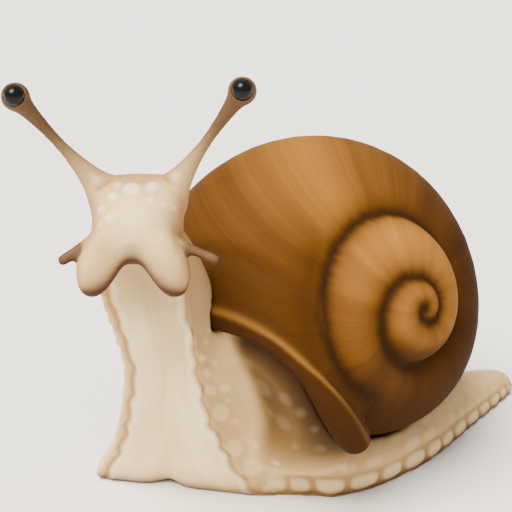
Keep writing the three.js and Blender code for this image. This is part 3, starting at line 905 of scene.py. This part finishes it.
def ribbon_rings(rows, over=41, under=25):
    """A ring for each place: over the back from the left edge, then under the sole from the right edge."""
    middle, side, back = ribbon_frames(rows)
    left, right, thick, square, swell = (column[:, None] for column in between(RIBBON, rows)[:, 5:].T)
    angle = np.linspace(0, math.pi, over)
    p = squared_off(np.cos(angle), square)
    bulge = swell * np.minimum(1, 2 * np.sin(angle))
    top_p = p * np.where(p > 0, left + bulge, right)
    top_q = EDGE + (thick - EDGE) * np.sin(angle) ** square
    share = np.linspace(-1, 1, under)
    low_p = share * np.where(share > 0, left, right)
    furrow = FURROW["depth"] * ramp(np.asarray(rows, float), *FURROW["rows"])[:, None]
    low_q = furrow * bell(low_p, 0, FURROW["width"])
    p, q = np.hstack([top_p, low_p])[..., None], np.hstack([top_q, low_q])[..., None]
    rings = middle[:, None] + p * side[:, None] + q * back[:, None]
    rings[..., 2] = np.maximum(rings[..., 2], 0)
    return rings


def ribbon_forms():
    """One loft for each row, so that the bend of the foot doesn't fold a single surface."""
    return [loft(ribbon_rings(row + np.linspace(0, 1, 9))) for row in range(len(RIBBON) - 1)]


print("ribbon:", len(ribbon_forms()), "lengths")

# %% Head, lobes, tentacles
head_side = np.array((math.cos(HEAD["facing"]), math.sin(HEAD["facing"]), 0))
head_back = np.array((-math.sin(HEAD["facing"]), math.cos(HEAD["facing"]), 0))
head_gaze = math.sin(EYE["gaze"]) * np.array((0, 0, 1)) - math.cos(EYE["gaze"]) * head_back


def in_head(side, back, z):
    return side * head_side + back * head_back + np.array((0, 0, z))


def rounded(side, back, z, half_wide, half_deep, square, count):
    """A level ring between a circle and a rounded square."""
    angle = np.arange(count) * TURN / count
    wide, deep = squared_off(np.cos(angle), square), squared_off(np.sin(angle), square)
    return np.array([in_head(side + half_wide * w, back + half_deep * d, z) for w, d in zip(wide, deep)])


def head_form():
    rows = between(HEAD["rows"], np.linspace(0, len(HEAD["rows"]) - 1, HEAD["steps"]))
    shape = HEAD["square"], HEAD["sides"]
    return loft([
        rounded(HEAD["middle"] + lean, (front + back) / 2, z, half, (back - front) / 2, *shape)
        for z, front, back, half, lean in rows
    ])


def curtain_form():
    """The muzzle with its two lobes: upright sections from one cheek to the other, under the head's front."""
    half = np.array(CURTAIN["half"])
    table = np.vstack([half[:0:-1] * (-1, 1, 1, 1, 1), half])
    angle = np.arange(CURTAIN["sides"]) * TURN / CURTAIN["sides"]
    deep, high = squared_off(np.cos(angle), CURTAIN["square"]), squared_off(np.sin(angle), CURTAIN["square"])
    rings = []
    for side, front, back, low, top in between(table, np.linspace(0, len(table) - 1, CURTAIN["steps"])):
        depths = (front + back) / 2 + (back - front) / 2 * deep
        heights = (low + top) / 2 + (top - low) / 2 * high
        across = HEAD["middle"] + CURTAIN["shift"] + side
        rings.append([in_head(across, d, z) for d, z in zip(depths, heights)])
    return loft(rings)


def tentacle_form(sizes, tips, hand, steps, sides):
    start = in_head(HEAD["middle"] + sizes["lean"] + hand * sizes["out"], *sizes["root"])
    return stalk([start, in_head(*tips[hand])], sizes["radii"], head_back, steps, sides)


def eye_place(hand):
    return in_head(*UPPER_TIPS[hand]) + EYE["ahead"] * head_gaze


def head_forms():
    forms = [head_form(), curtain_form()]
    for hand in (1, -1):
        forms += [
            tentacle_form(UPPER, UPPER_TIPS, hand, 40, 28),
            tentacle_form(LOWER, LOWER_TIPS, hand, 20, 20),
            ball_form(in_head(*UPPER_TIPS[hand]), UPPER["bulb"] + 0.06),
            ball_form(in_head(*LOWER_TIPS[hand]), LOWER["radii"][-1]),
        ]
    return forms


print("head:", len(head_forms()), "forms")

# %% [markdown]
# ## Flesh inside the shell
#
# The torso and the mantle are lengths of the same coil as the shell, a little slimmer, so they fill its
# opening with an even gap. The torso is trimmed to a column above the foot. Then the shell's own wall, a
# little thicker, is taken out of the flesh, which leaves the hollows that the shell presses into it.


# %% Torso, mantle and the shell's space
def tube(first, last, grow, rows_per_turn=96, sides=64):
    rows = max(3, round((last - first) * rows_per_turn))
    n, v = np.meshgrid(np.linspace(first, last, rows), np.arange(sides) * TURN / sides, indexing="ij")
    return loft(whorl_points(n, v, grow))


def united(forms):
    whole = mesh_object("flesh", *forms[0])
    for form in forms[1:]:
        boolean(whole, mesh_object("next", *form), "UNION")
    return whole


def tubes(first, last, grow):
    ends = np.linspace(first, last, math.ceil((last - first) * 3) + 1)
    return united([tube(a, b, grow) for a, b in zip(ends, ends[1:])])


def torso_column():
    angle = math.pi * (0.5 + np.linspace(0, 1, 33))
    across = np.abs(np.cos(angle)) ** TORSO["square"]
    length = squared_off(np.sin(angle), TORSO["square"])
    rings = []
    for z, middle, half, right in between(TORSO["rows"], np.linspace(0, len(TORSO["rows"]) - 1, 17)):
        curve = np.column_stack([(right + 1) * across - 1, middle + half * length, 0 * angle + z])
        back_corner, front_corner = (TORSO["left"], middle + half, z), (TORSO["left"], middle - half, z)
        rings.append(np.vstack([back_corner, curve, front_corner]))
    return loft(rings)


def make_torso():
    torso = mesh_object("torso", *tube(*TORSO["wrap"], -TORSO["inset"]))
    boolean(torso, mesh_object("column", *torso_column()), "INTERSECT")
    return cut_in_front(torso, -OPENING, MANTLE_SUNK + TORSO["overlap"] - OPENING_REACH)


def make_mantle():
    inside = -SHELL["wall"] - GAP
    mantle = mesh_object("mantle_collar", *tube(SHELL["start"] + 0.01, SHELL["cavity"] - 0.02, inside))
    cut_in_front(mantle, OPENING, OPENING_REACH - MANTLE_SUNK)
    space = bpy.data.objects.new("space", shell_space.data.copy())
    bpy.context.scene.collection.objects.link(space)
    return boolean(mantle, space, "DIFFERENCE")


def make_shell_space():
    """The shell's wall and inner whorls, a gap thicker, with the hollow of the opening left out."""
    space = tubes(SHELL["start"] - 0.012, SHELL["inner"], GAP)
    cut_in_front(space, OPENING, OPENING_REACH + GAP)
    hollow = mesh_object("hollow", *tube(1.5 * SHELL["mouth"], SHELL["cavity"], -SHELL["wall"] - GAP))
    boolean(space, hollow, "DIFFERENCE")
    boolean(space, tubes(SHELL["inner"], SHELL["turns"], GAP), "UNION")
    for form in [lip_bead(GAP)] + tongue(GAP):
        boolean(space, mesh_object("lip_space", *form), "UNION")
    return space


shell_space = make_shell_space()
print("the shell's space has", len(shell_space.data.polygons), "faces")

# %% [markdown]
# ## One skin
#
# All the forms are united, the shell's space is cut out, and a voxel remesh turns the result into one even
# surface with points about a third of a millimetre apart. Hollow creases, such as those where a tentacle
# leaves the head, are filled, as flesh fills them, smoothing rounds the rest, and the eyes' sockets are cut.

# %% Skin
VOXEL = 0.35
SMOOTHING = 8
FILLING, FILL_STEP = 45, 0.9


def fill_creases(made, edges, share, rounds):
    """Moves points outwards, where their neighbours lie further out; share says how much for each."""
    for _ in range(rounds):
        points, normals = points_of(made), normals_of(made)
        outward = np.einsum("ij,ij->i", neighbour_mean(points, edges) - points, normals)
        move_points(made, points + (FILL_STEP * share * np.maximum(outward, 0))[:, None] * normals)


def crease_share(points):
    """Full on the head, less on the neck and torso, and none under the muzzle or in the shell."""
    side, back, z = (points @ head_side - HEAD["middle"], points @ head_back, points[:, 2])
    beside = ramp(np.abs(side), 4.3, 5.3)
    head = ramp(z, 44.5, 46.5) * ramp(-back, 20, 24) * (1 - beside * (1 - ramp(z, 48.8, 50.2)))
    body = 0.7 * ramp(-z, -38, -34) * ramp(z, 1, 4) * (points @ OPENING > OPENING_REACH)
    return np.clip(head + body, 0, 1)


def make_skin():
    skin = united(ribbon_forms() + head_forms())
    boolean(skin, make_torso(), "UNION")
    boolean(skin, shell_space, "DIFFERENCE")
    remesh(skin, VOXEL)
    edges = edges_of(skin)
    fill_creases(skin, edges, crease_share(points_of(skin)), FILLING)
    move_points(skin, smoothed(points_of(skin), edges, SMOOTHING))
    for hand in (1, -1):
        socket = ball_form(eye_place(hand), EYE["radius"] + EYE["gap"])
        boolean(skin, mesh_object("socket", *socket), "DIFFERENCE")
    points = points_of(skin)
    points[:, 2] = np.maximum(points[:, 2], 0)
    move_points(skin, points)
    return skin


mantle = make_mantle()
skin = make_skin()
skin.name = "skin"
print("skin:", len(skin.data.polygons), "faces,", len(skin.data.vertices), "points")

# %% [markdown]
# ## Where each point lies on the foot
#
# The pattern of a snail's skin follows its foot: rows of plates run along the margin, with a wavy groove
# between them and the smooth sole. So every point of the skin gets three numbers: its row on the ribbon, its
# distance along the margin, and its distance up from the margin, which is negative under the foot.

# %% Foot coordinates
SECTION_STEPS, SECTION_POINTS, SECTION_END = 640, 150, 0.02
SECTION_OVER, SECTION_UNDER = 181, 61
FRINGE_INSET = {1: 0.1, -1: 1.2}
RISING = (7.0, 8.5)


def foot_sections():
    """Even points round each section, from its left lower corner over the back, and its lengths."""
    rows = np.linspace(SECTION_END, len(RIBBON) - 1 - SECTION_END, SECTION_STEPS)
    rings = np.roll(ribbon_rings(rows, SECTION_OVER, SECTION_UNDER), 1, axis=1)
    right_corner = SECTION_OVER + 1
    closed = np.concatenate([rings, rings[:, :1]], axis=1)
    steps = np.linalg.norm(np.diff(closed, axis=1), axis=2)
    lengths = np.concatenate([np.zeros((len(rows), 1)), np.cumsum(steps, axis=1)], axis=1)
    even = np.linspace(0, 1, SECTION_POINTS, endpoint=False)
    sections = np.array([
        np.column_stack([np.interp(even * length[-1], length, ring[:, k]) for k in range(3)])
        for length, ring in zip(lengths, closed)
    ])
    corner = lengths[:, right_corner]
    margins = {1: rings[:, 0], -1: rings[:, right_corner]}
    along = {
        hand: np.concatenate([[0], np.cumsum(np.linalg.norm(np.diff(margin, axis=0), axis=1))])
        for hand, margin in margins.items()
    }
    return rows, sections, lengths[:, -1], corner, along


def foot_coordinates(points):
    rows, sections, total, corner, along = foot_sections()
    number, distance = nearest(sections.reshape(-1, 3), points)
    i, j = np.divmod(number, SECTION_POINTS)
    ahead = np.gradient(sections, axis=0)[i, j]
    around = (np.roll(sections, -1, axis=1) - np.roll(sections, 1, axis=1))[i, j]
    offset = points - sections[i, j]
    step = np.clip(np.einsum("ij,ij->i", offset, ahead) / np.einsum("ij,ij->i", ahead, ahead), -1, 1)
    row = rows[i] + step * (rows[1] - rows[0])
    reach = np.einsum("ij,ij->i", offset, around) / np.linalg.norm(around, axis=1)
    round_length = j * total[i] / SECTION_POINTS + reach
    over = round_length <= corner[i]
    from_left = np.where(over, round_length, round_length - total[i])
    from_right = corner[i] - round_length
    hand = np.where(np.abs(from_left) < np.abs(from_right), 1, -1)
    up = np.where(hand > 0, from_left, from_right)
    length = np.where(hand > 0, np.interp(row, rows, along[1]), np.interp(row, rows, along[-1]))
    up = up + np.where(hand > 0, FRINGE_INSET[1], FRINGE_INSET[-1] * ramp(row, *RISING))
    where = {"row": row, "length": length, "up": up, "hand": hand, "off": distance}
    return {**where, "along": along, "rows": rows}


edges = edges_of(skin)
points, normals = points_of(skin), normals_of(skin)
foot = foot_coordinates(points)
print("points within 1 mm of the foot:", int((foot["off"] < 1).sum()))

# %% [markdown]
# ## Plates along the margin
#
# A first row of long plates lies along the margin, with smaller ones above it that fade up the flank. Their
# lengths are drawn with a fixed seed and shrink towards the tail and the head. Each is a rounded rectangle,
# raised a little, and the tan skin between them is a shallow groove. They could be a texture, but as masks
# on the mesh they follow the margin, and they are raised as real relief later.

# %% Plates
PLATE_ROWS = [
    {"low": 0.75, "high": 3.5, "length": 4.7, "kept": 1.0, "strength": 1.0, "square": 3.0},
    {"low": 4.0, "high": 5.9, "length": 3.9, "kept": 0.8, "strength": 0.35, "square": 2.3},
    {"low": 6.4, "high": 8.2, "length": 3.6, "kept": 0.5, "strength": 0.25, "square": 2.1},
]
PLATE_SCALE = (
    [0, 1, 2.5, 4, 9, 10.5, 11.2, 12, 13, 15, 17],
    [0.4, 0.55, 0.75, 1, 1, 1, 0.7, 0.6, 0.45, 0.3, 0.25],
)
PLATE_SEED, PLATE_START, PLATE_LENGTHS, PLATE_SHIFT = 11, 0.3, (0.8, 1.25), 0.15
PLATE_GAP = 0.6
PADS_FROM = 7.75


def plates():
    """Length and height of each plate's middle, its half sizes, strength and squareness."""
    draw = np.random.default_rng(PLATE_SEED)
    for hand in (1, -1):
        for sizes in PLATE_ROWS:
            place = PLATE_START
            while place < foot["along"][hand][-1] - 1:
                row = np.interp(place, foot["along"][hand], foot["rows"])
                scale = np.interp(row, *PLATE_SCALE)
                long = sizes["length"] * scale * draw.uniform(*PLATE_LENGTHS)
                shift = draw.uniform(-PLATE_SHIFT, PLATE_SHIFT) * scale * (sizes["low"] > 1)
                if draw.random() < sizes["kept"] and (hand < 0 or row < PADS_FROM):
                    low, high = sizes["low"] * scale + shift, sizes["high"] * scale + shift
                    gap = PLATE_GAP * max(scale, 0.5)
                    yield hand, place + long / 2, (low + high) / 2, (long - gap) / 2, (high - low) / 2, sizes
                place += long


def plate_fields():
    """How much of a plate, and of a groove round the first row, each point has."""
    plate = np.zeros(len(points))
    on_foot = ramp(-foot["off"], -1.2, -0.5)
    for hand, length, up, half_long, half_high, sizes in plates():
        along, above = np.abs(foot["length"] - length), np.abs(foot["up"] - up)
        near = np.nonzero((foot["hand"] == hand) & (along < half_long) & (above < half_high))[0]
        square = sizes["square"]
        inside = (along[near] / half_long) ** square + (above[near] / half_high) ** square
        depth = (1 - inside ** (1 / square)) * min(half_long, half_high)
        plate[near] = np.maximum(plate[near], sizes["strength"] * ramp(depth, 0.0, 0.35))
    scale = np.interp(foot["row"], *PLATE_SCALE)
    first = ramp(foot["up"], 0.0, 0.3) * ramp(-foot["up"] / scale, -4.1, -3.3)
    second = 0.3 * ramp(foot["up"] / scale, 3.3, 3.7) * ramp(-foot["up"] / scale, -8.0, -4.5)
    fading = 1 - 0.65 * ramp(foot["row"], 7, 8)
    groove = (first + second) * fading * (1 - plate / np.where(foot["up"] / scale > 3.5, 0.5, 1)).clip(0, 1)
    return plate * on_foot, groove * on_foot


plate, groove = plate_fields()
print("share of the skin on plates:", round(float((plate > 0.3).mean()), 3))

# %% [markdown]
# ## The foot's fringe
#
# Where the flank meets the sole, a snail's foot has a thin wavy edge. Here it is a groove whose distance from
# the margin swings with three waves of different lengths, so that it doesn't look repeated, and a soft pale
# ridge inside it. What lies within the groove is the smooth sole.

# %% Fringe
FRINGE = {
    "waves": ((5.2, 0.4), (2.9, 0.12), (11.0, 0.2)), "right": 0.55,
    "line": 0.5, "ridge_at": 1.05, "ridge": 0.42,
}


def fringe_fields():
    """The wavy groove at the sole's edge, the soft ridge inside it, and the sole itself."""
    waves = enumerate(FRINGE["waves"])
    wave = sum(size * np.sin(TURN * foot["length"] / long + 2 * n) for n, (long, size) in waves)
    wave = wave * np.interp(foot["row"], [0, 3, 9, 14, 17], [0.3, 0.6, 1.0, 0.7, 0.3])
    wave = wave * np.where(foot["hand"] > 0, 1, FRINGE["right"])
    inward = wave - foot["up"]
    line = bell(inward, 0, FRINGE["line"])
    ridge = bell(inward, FRINGE["ridge_at"], FRINGE["ridge"])
    sole = ramp(inward, -0.1, 0.5)
    outside = (foot["hand"] < 0) * ramp(foot["row"], 7, 8) * ramp(-foot["up"], -5, -3)
    sole = np.maximum(sole, 0.55 * outside)
    on_foot = ramp(-foot["off"], -1.2, -0.5)
    return line * on_foot, ridge * on_foot, sole * on_foot


line, ridge, sole = fringe_fields()
print("share of the skin on the sole:", round(float((sole > 0.5).mean()), 3))

# %% [markdown]
# ## Spots and pads
#
# A snail's skin has pale bumps on the forehead, at the tentacles' roots, down the neck and on the torso;
# those on the forehead and at the roots are also painted paler as highlights. Each is an oval on the surface,
# with half sizes in millimetres and a tilt in degrees. Its place is where a ray from the camera meets the
# skin, so a small table of places across and down the view, in 512ths of its width, is enough.

# %% Spots
FOREHEAD = [
    (132, 189, 1.3, 0.95, 0), (152, 187, 1.05, 0.85, 10), (113, 197, 0.85, 0.7, 30),
    (101, 210, 0.65, 0.6, 40), (110, 218, 0.85, 0.75, 0), (100, 225, 0.4, 0.4, 0), (151, 200, 0.6, 0.55, 0),
    (174, 208, 0.4, 0.4, 0), (118, 185, 0.6, 0.5, 0), (163, 205, 0.45, 0.4, 0),
]
ROOT_PADS = [(96, 180, 1.2, 0.7, -35), (176, 178, 1.2, 0.75, 35)]
ROOT_FOLDS = [(103, 185, 2.0, 0.4, 37), (168.5, 180.5, 1.6, 0.4, -36)]
TORSO_SPOTS = [
    (262, 387, 1.9, 1.0, -55), (285, 399, 1.4, 0.9, -50), (301, 413, 1.0, 0.85, -30),
    (284, 423, 1.6, 1.0, -50), (315, 429, 0.8, 0.7, 0), (249, 363, 1.0, 0.7, -50), (270, 412, 1.5, 0.5, -60),
    (246, 400, 0.5, 0.4, 0), (320, 448, 1.2, 0.7, -10), (296, 446, 0.9, 0.7, -20),
]
NECK_PADS = [
    (277, 480, 1.75, 1.3, -20), (253, 467, 1.6, 1.5, -50), (235, 447, 1.7, 1.35, -60),
    (222, 412, 1.65, 1.35, -75), (212, 389, 1.0, 0.85, -60), (226, 387, 0.95, 0.85, 0),
    (207, 372, 0.95, 0.7, -70), (216, 362, 0.7, 0.4, -80), (203, 357, 0.8, 0.6, 90), (206, 341, 0.45, 0.4, 0),
    (209, 330, 0.55, 0.35, 90), (205, 318, 0.35, 0.3, 0), (228, 400, 0.6, 0.5, 0), (236, 421, 0.75, 0.6, 0),
    (256, 445, 0.8, 0.6, -40), (276, 463, 0.9, 0.55, -30),
]
VIEW_SIZE = 512


def seen_points(places):
    """Where rays through places in the view meet the skin, for points still in millimetres."""
    camera = bpy.context.scene.camera
    start, turned = camera.matrix_basis.translation / MM, camera.matrix_basis.to_3x3()
    across, upward = np.array(turned.col[0]), np.array(turned.col[1])
    wide = camera.data.sensor_width / camera.data.lens / VIEW_SIZE
    half = VIEW_SIZE / 2
    for x, y, *rest in places:
        direction = turned @ Vector(((x - half) * wide, (half - y) * wide, -1))
        hit, place, _, _ = skin.ray_cast(start, direction.normalized())
        if hit:
            yield np.array(place), across, upward, rest


def spot_field(places, edge):
    field = np.zeros(len(points))
    for place, across, upward, (half_long, half_high, tilt) in seen_points(places):
        turn = math.radians(tilt)
        offset = points - place
        along = offset @ (math.cos(turn) * across + math.sin(turn) * upward)
        beside = offset @ (math.cos(turn) * upward - math.sin(turn) * across)
        depth = (1 - np.hypot(along / half_long, beside / half_high)) * half_high
        close = (offset * offset).sum(1) < (2.5 * half_long) ** 2
        field = np.maximum(field, ramp(depth, 0, edge) * close)
    return field


# The forehead's spots and the pads at the tentacles' roots are raised a little as bumps, and painted pale as
# highlights.
forehead = np.maximum(spot_field(FOREHEAD, 0.4), 0.7 * spot_field(ROOT_PADS, 0.5))
root_folds = spot_field(ROOT_FOLDS, 0.25)
neck_pads = spot_field(NECK_PADS, 0.4)
spots = spot_field(TORSO_SPOTS, 0.4)
print("spots cover", int((forehead > 0.5).sum()), "and", int((spots > 0.5).sum()), "points")

# %% [markdown]
# ## Darker and paler skin
#
# Brown painted shade lies along the muzzle's lower side, the lobes' edges turned from the gaze and the foot's
# lowest edge on the floor. Tentacles darken towards their tips. Flesh under the shell and near it carries
# painted shade and shadow, as do the head's turned-away sides and the sole under the lobes, and the face's
# middle and a little of the tail are painted light. Each tint is a mask with soft edges, made of ramps on the
# height, on the way the surface faces, and on places along the head's own directions, in millimetres.


# %% Masks for tints
def along_stalk(sizes, tips, hand, wide):
    """0 at a tentacle's root and 1 at its tip, for points within reach of it."""
    start = in_head(HEAD["middle"] + sizes["lean"] + hand * sizes["out"], *sizes["root"])
    axis = in_head(*tips[hand]) - start
    share = (points - start) @ axis / (axis @ axis)
    off = np.linalg.norm(points - start - np.clip(share, 0, 1.05)[:, None] * axis, axis=1)
    return np.where(off < wide, np.clip(share, 0, 1.1), 0)


def tentacle_tint():
    """Grows from a tentacle's root to its tip."""
    upper, lower = (
        np.maximum(along_stalk(sizes, tips, 1, wide), along_stalk(sizes, tips, -1, wide))
        for sizes, tips, wide in ((UPPER, UPPER_TIPS, 3), (LOWER, LOWER_TIPS, 1.2))
    )
    return np.maximum(ramp(upper, -0.02, 0.75), ramp(lower, 0.0, 0.35))


def shade_by_shell():
    """Painted shade by how far a low flank stands off the foot, and painted shadow by how near the shell a
    point is.
    """
    z = points[:, 2]
    _, shell_distance = nearest(points_of(shell)[::3], points)
    under_shell_shade = ramp(foot["off"], 0.2, 3.6) * (1 - ramp(z, 30, 38)) * ramp(z, 2.0, 13.0)
    near_shell_shadow = bell(shell_distance, 0, 6.5) * ramp(z, 2.0, 7.0) * (0.35 + 0.65 * under_shell_shade)
    return under_shell_shade, near_shell_shadow


def flesh_tints():
    """Painted shade on lower edges, on turned-away sides and low down, and painted light on the face and
    tail.
    """
    z, back, side = points[:, 2], points @ head_back, points @ head_side - HEAD["middle"]
    facing, head = normals @ head_gaze, ramp(z, 39.5, 41) * ramp(-back, 18, 21)
    # Painted shade: faces turned down under the muzzle, the lobes' sides turned from the gaze, and the lowest
    # 2 mm of the foot.
    muzzle = ramp(-normals[:, 2], -0.15, 0.5) * ramp(z, 39, 40) * ramp(-back, 29, 31) * (z < 48)
    edge = 0.8 * (1 - ramp(facing, -0.2, 0.45)) * head * ramp(-back, 26.5, 30) * (1 - ramp(z, 45, 50))
    edge_shade = 0.65 * ramp(-z, -2.0, -0.3)
    # Painted shade on the head's sides turned from its gaze, on the sole under the lobes, and low on the
    # body.
    whole = np.maximum(head * ramp(-back, 27, 30), ramp(z, 38, 45) * ramp(-back, 12, 26))
    under = 0.65 * ramp(z, 29, 38) * (1 - ramp(z, 40, 45))
    side_and_under_shade = np.max([(1 - ramp(facing, 0.15, 0.95)) * whole, under, 0.5 * ramp(-z, -5.0, -0.5)], axis=0)
    # Painted light on the face's middle, and a little on the tail, which lies in the shell's shadow.
    face = np.maximum(bell(side, 0.5, 3.2) * bell(z, 50.5, 3.0) * head, 0.2 * ramp(points[:, 1], 10, 28))
    return np.max([muzzle, edge, edge_shade], axis=0), side_and_under_shade, face


horn = tentacle_tint()
under_shell_shade, near_shell_shadow = shade_by_shell()
rim_shade, side_and_under_shade, face = flesh_tints()
print("darkest under the shell:", round(float(near_shell_shadow.max()), 2))

# %% [markdown]
# ## Raising the pattern
#
# The masks also move the skin: plates and pads stand out and grooves are cut in, by tenths of a millimetre,
# along the normals. What rests on the floor stays there.

# %% Relief
RAISED = (
    (0.22, plate), (-0.12, groove), (-0.3, line), (0.14, ridge), (0.16, forehead), (0.06, spots),
    (0.2, neck_pads), (-0.3, root_folds),
)


def raise_pattern():
    height = sum(size * field for size, field in RAISED)
    resting = ramp(points[:, 2], 0.0, 0.5)
    moved = points + (smoothed(height, edges, 1) * resting)[:, None] * normals
    moved[:, 2] = np.maximum(moved[:, 2], 0)
    move_points(skin, moved)


raise_pattern()
SKIN_FIELDS = {
    "plate": np.max([plate, 0.9 * neck_pads, 0.1 * spots], axis=0),
    "groove": np.max([0.75 * groove, line, root_folds], axis=0),
    "pad_highlight": forehead, "ridge": ridge, "sole": sole, "rim_shade": rim_shade, "near_shell_shadow": near_shell_shadow, "under_shell_shade": under_shell_shade,
    "side_and_under_shade": side_and_under_shade, "face": face, "horn": horn, "up": foot["up"], "length": foot["length"],
}
for name, values in SKIN_FIELDS.items():
    keep_attribute(skin, name, smoothed(values, edges, 1))
print("the skin keeps", ", ".join(SKIN_FIELDS))

# %% [markdown]
# ## Moist skin
#
# Snail skin is soft and wet: a little light passes under it, and a thin coat of mucus gives a weak sheen. Its
# ground is mottled tan, the sole is cream with faint streaks along it, and the tints lie over both, one
# after another. The smallest grain, about a millimetre, is only bump.

# %% Skin material
# Laid in order: painted light on the face and tail; painted shade on turned-away sides, under the shell and
# beside it; the grooves' and plates' own colours; pads painted pale as highlights; the fringe's pale ridge;
# the tentacles' brown; and painted shade on lower edges.
SKIN_TINTS = [
    ("face", 0.7, "#fde2aa"), ("side_and_under_shade", 0.85, "#a07444"), ("under_shell_shade", 0.95, "#83622e"), ("near_shell_shadow", 1.0, "#38200a"),
    ("groove", 0.8, "#98692a"), ("plate", 0.6, "#e8ce9c"), ("pad_highlight", 0.6, "#fff4d6"),
    ("ridge", 0.4, "#f8e8c6"), ("horn", 0.93, "#4a3220"), ("rim_shade", 1.0, "#3e1c06"),
]


def skin_finish():
    material, tree, shader = new_material(
        "moist_skin", Roughness=0.55, Specular_IOR_Level=0.07, Subsurface_Weight=0.1, Subsurface_Scale=0.001,
        Subsurface_Radius=(1.0, 0.6, 0.4), Coat_Weight=0.04, Coat_Roughness=0.3,
    )
    place = add_node(tree, "ShaderNodeTexCoord").outputs["Object"]

    def noise(scale, detail):
        inputs = {"Vector": place, "Scale": scale, "Detail": detail, "Roughness": 0.6}
        return add_node(tree, "ShaderNodeTexNoise", None, inputs).outputs[0]

    tan = colour_ramp(tree, noise(160.0, 4.0), [(0.3, "#cea872"), (0.7, "#e0be88")])
    up, length = (Field(tree, attribute(tree, name)) for name in ("up", "length"))
    inputs = {0: (up * 0.35).socket, 1: (length * 0.05).socket}
    streak_place = add_node(tree, "ShaderNodeCombineXYZ", None, inputs)
    streaks = add_node(tree, "ShaderNodeTexNoise", None, {
        "Vector": streak_place.outputs[0], "Scale": 1.0, "Detail": 2.0,
    })
    cream = colour_ramp(tree, streaks.outputs[0], [(0.3, "#edcc92"), (0.62, "#f8e0ae")])
    colour = tinted(tree, mixed(tree, attribute(tree, "sole"), tan, cream), SKIN_TINTS)
    tree.links.new(colour, shader.inputs["Base Color"])
    fine = add_node(tree, "ShaderNodeTexVoronoi", None, {"Vector": place, "Scale": 900.0}).outputs["Distance"]
    bump = add_node(tree, "ShaderNodeBump", None, {"Strength": 0.12, "Distance": 0.0001, "Height": fine})
    tree.links.new(bump.outputs[0], shader.inputs["Normal"])
    return material


skin_material = skin_finish()
for piece in (skin, mantle):
    piece.data.materials.clear()
    piece.data.materials.append(skin_material)
# The mantle collar, deep in the opening, gets the full painted shade and shadow of flesh under the shell.
for name in ("under_shell_shade", "near_shell_shadow"):
    keep_attribute(mantle, name, np.ones(len(mantle.data.vertices)))
print("made the skin's material")

# %% [markdown]
# ## Eyes
#
# A snail's eye is a black bead under clear wet skin at the tip of an upper tentacle, so a smooth ball with a
# low roughness is enough. Its highlight comes from the sun lamp.


# %% Eyes
def make_eye(name, hand):
    eye = mesh_object(name, *ball_form(eye_place(hand), EYE["radius"], EYE["sides"]))
    eye.data.materials.append(eye_material)
    return eye


eye_material, _, _ = new_material(
    "wet_black_eye", Base_Color=hex_color("#0c0b0c"), Roughness=0.22, Specular_IOR_Level=0.16,
)
eyes = {name: make_eye(name, hand) for name, hand in (("left_eyeball", 1), ("right_eyeball", -1))}
print("eyes:", list(eyes))

# %% [markdown]
# ## Fitting the pieces to the frame
#
# Each piece goes from millimetres to metres, rides on the snail's one body, and replaces the solids that it
# stands for.


# %% Pieces and nodes
def finish_piece(made, nodes):
    made.data.transform(Matrix.Scale(MM, 4))
    made.data.shade_smooth()
    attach(made, "root")
    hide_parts(*nodes)


flesh_nodes = ["tail", "foot", "neck", "torso", "head"]
for part in ("oral_lobe", "upper_tentacle", "lower_tentacle"):
    flesh_nodes += [f"{part}_left", f"{part}_right"]
finish_piece(skin, flesh_nodes)
finish_piece(mantle, ["mantle"])
finish_piece(shell, ["shell"])
for hand in ("left", "right"):
    finish_piece(eyes[f"{hand}_eyeball"], [f"eye_{hand}"])
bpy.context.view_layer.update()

# %% [markdown]
# ## Floor and light
#
# A broad sun, high up and a little in front of the snail, gives soft shadows and round highlights. A white
# world lightens the shadows, and a pale floor reaches far past the snail.


# %% Stage
# In metres: the point that the sun faces, and half a side of the floor.
AIM = (0, 0, 0.03)
FLOOR = 4


def add_sun(place, power, colour, disc):
    """A sun that points at the snail; disc is the angle that it fills in the sky, in degrees."""
    data = bpy.data.lights.new("sun", "SUN")
    data.energy, data.color, data.angle = power, hex_color(colour)[:3], math.radians(disc)
    lamp = bpy.data.objects.new("sun", data)
    lamp.location = place
    lamp.rotation_euler = (Vector(AIM) - Vector(place)).to_track_quat("-Z", "Y").to_euler()
    bpy.context.scene.collection.objects.link(lamp)


def make_floor():
    corners = [(-FLOOR, -FLOOR, 0), (FLOOR, -FLOOR, 0), (FLOOR, FLOOR, 0), (-FLOOR, FLOOR, 0)]
    floor = mesh_object("floor", corners, [(0, 1, 2, 3)])
    material, _, _ = new_material("pale_floor", Base_Color=hex_color("#f4f3f1"), Roughness=0.9)
    floor.data.materials.append(material)


def make_world():
    world = bpy.data.worlds.new("soft_world")
    world.use_nodes = True
    background = world.node_tree.nodes["Background"]
    background.inputs["Color"].default_value = hex_color("#ffffff")
    background.inputs["Strength"].default_value = 0.7
    bpy.context.scene.world = world


make_floor()
make_world()
add_sun((0.0, -0.23, 0.5), 9.5, "#fff6ea", 38)
print("made the floor, the world and a sun")
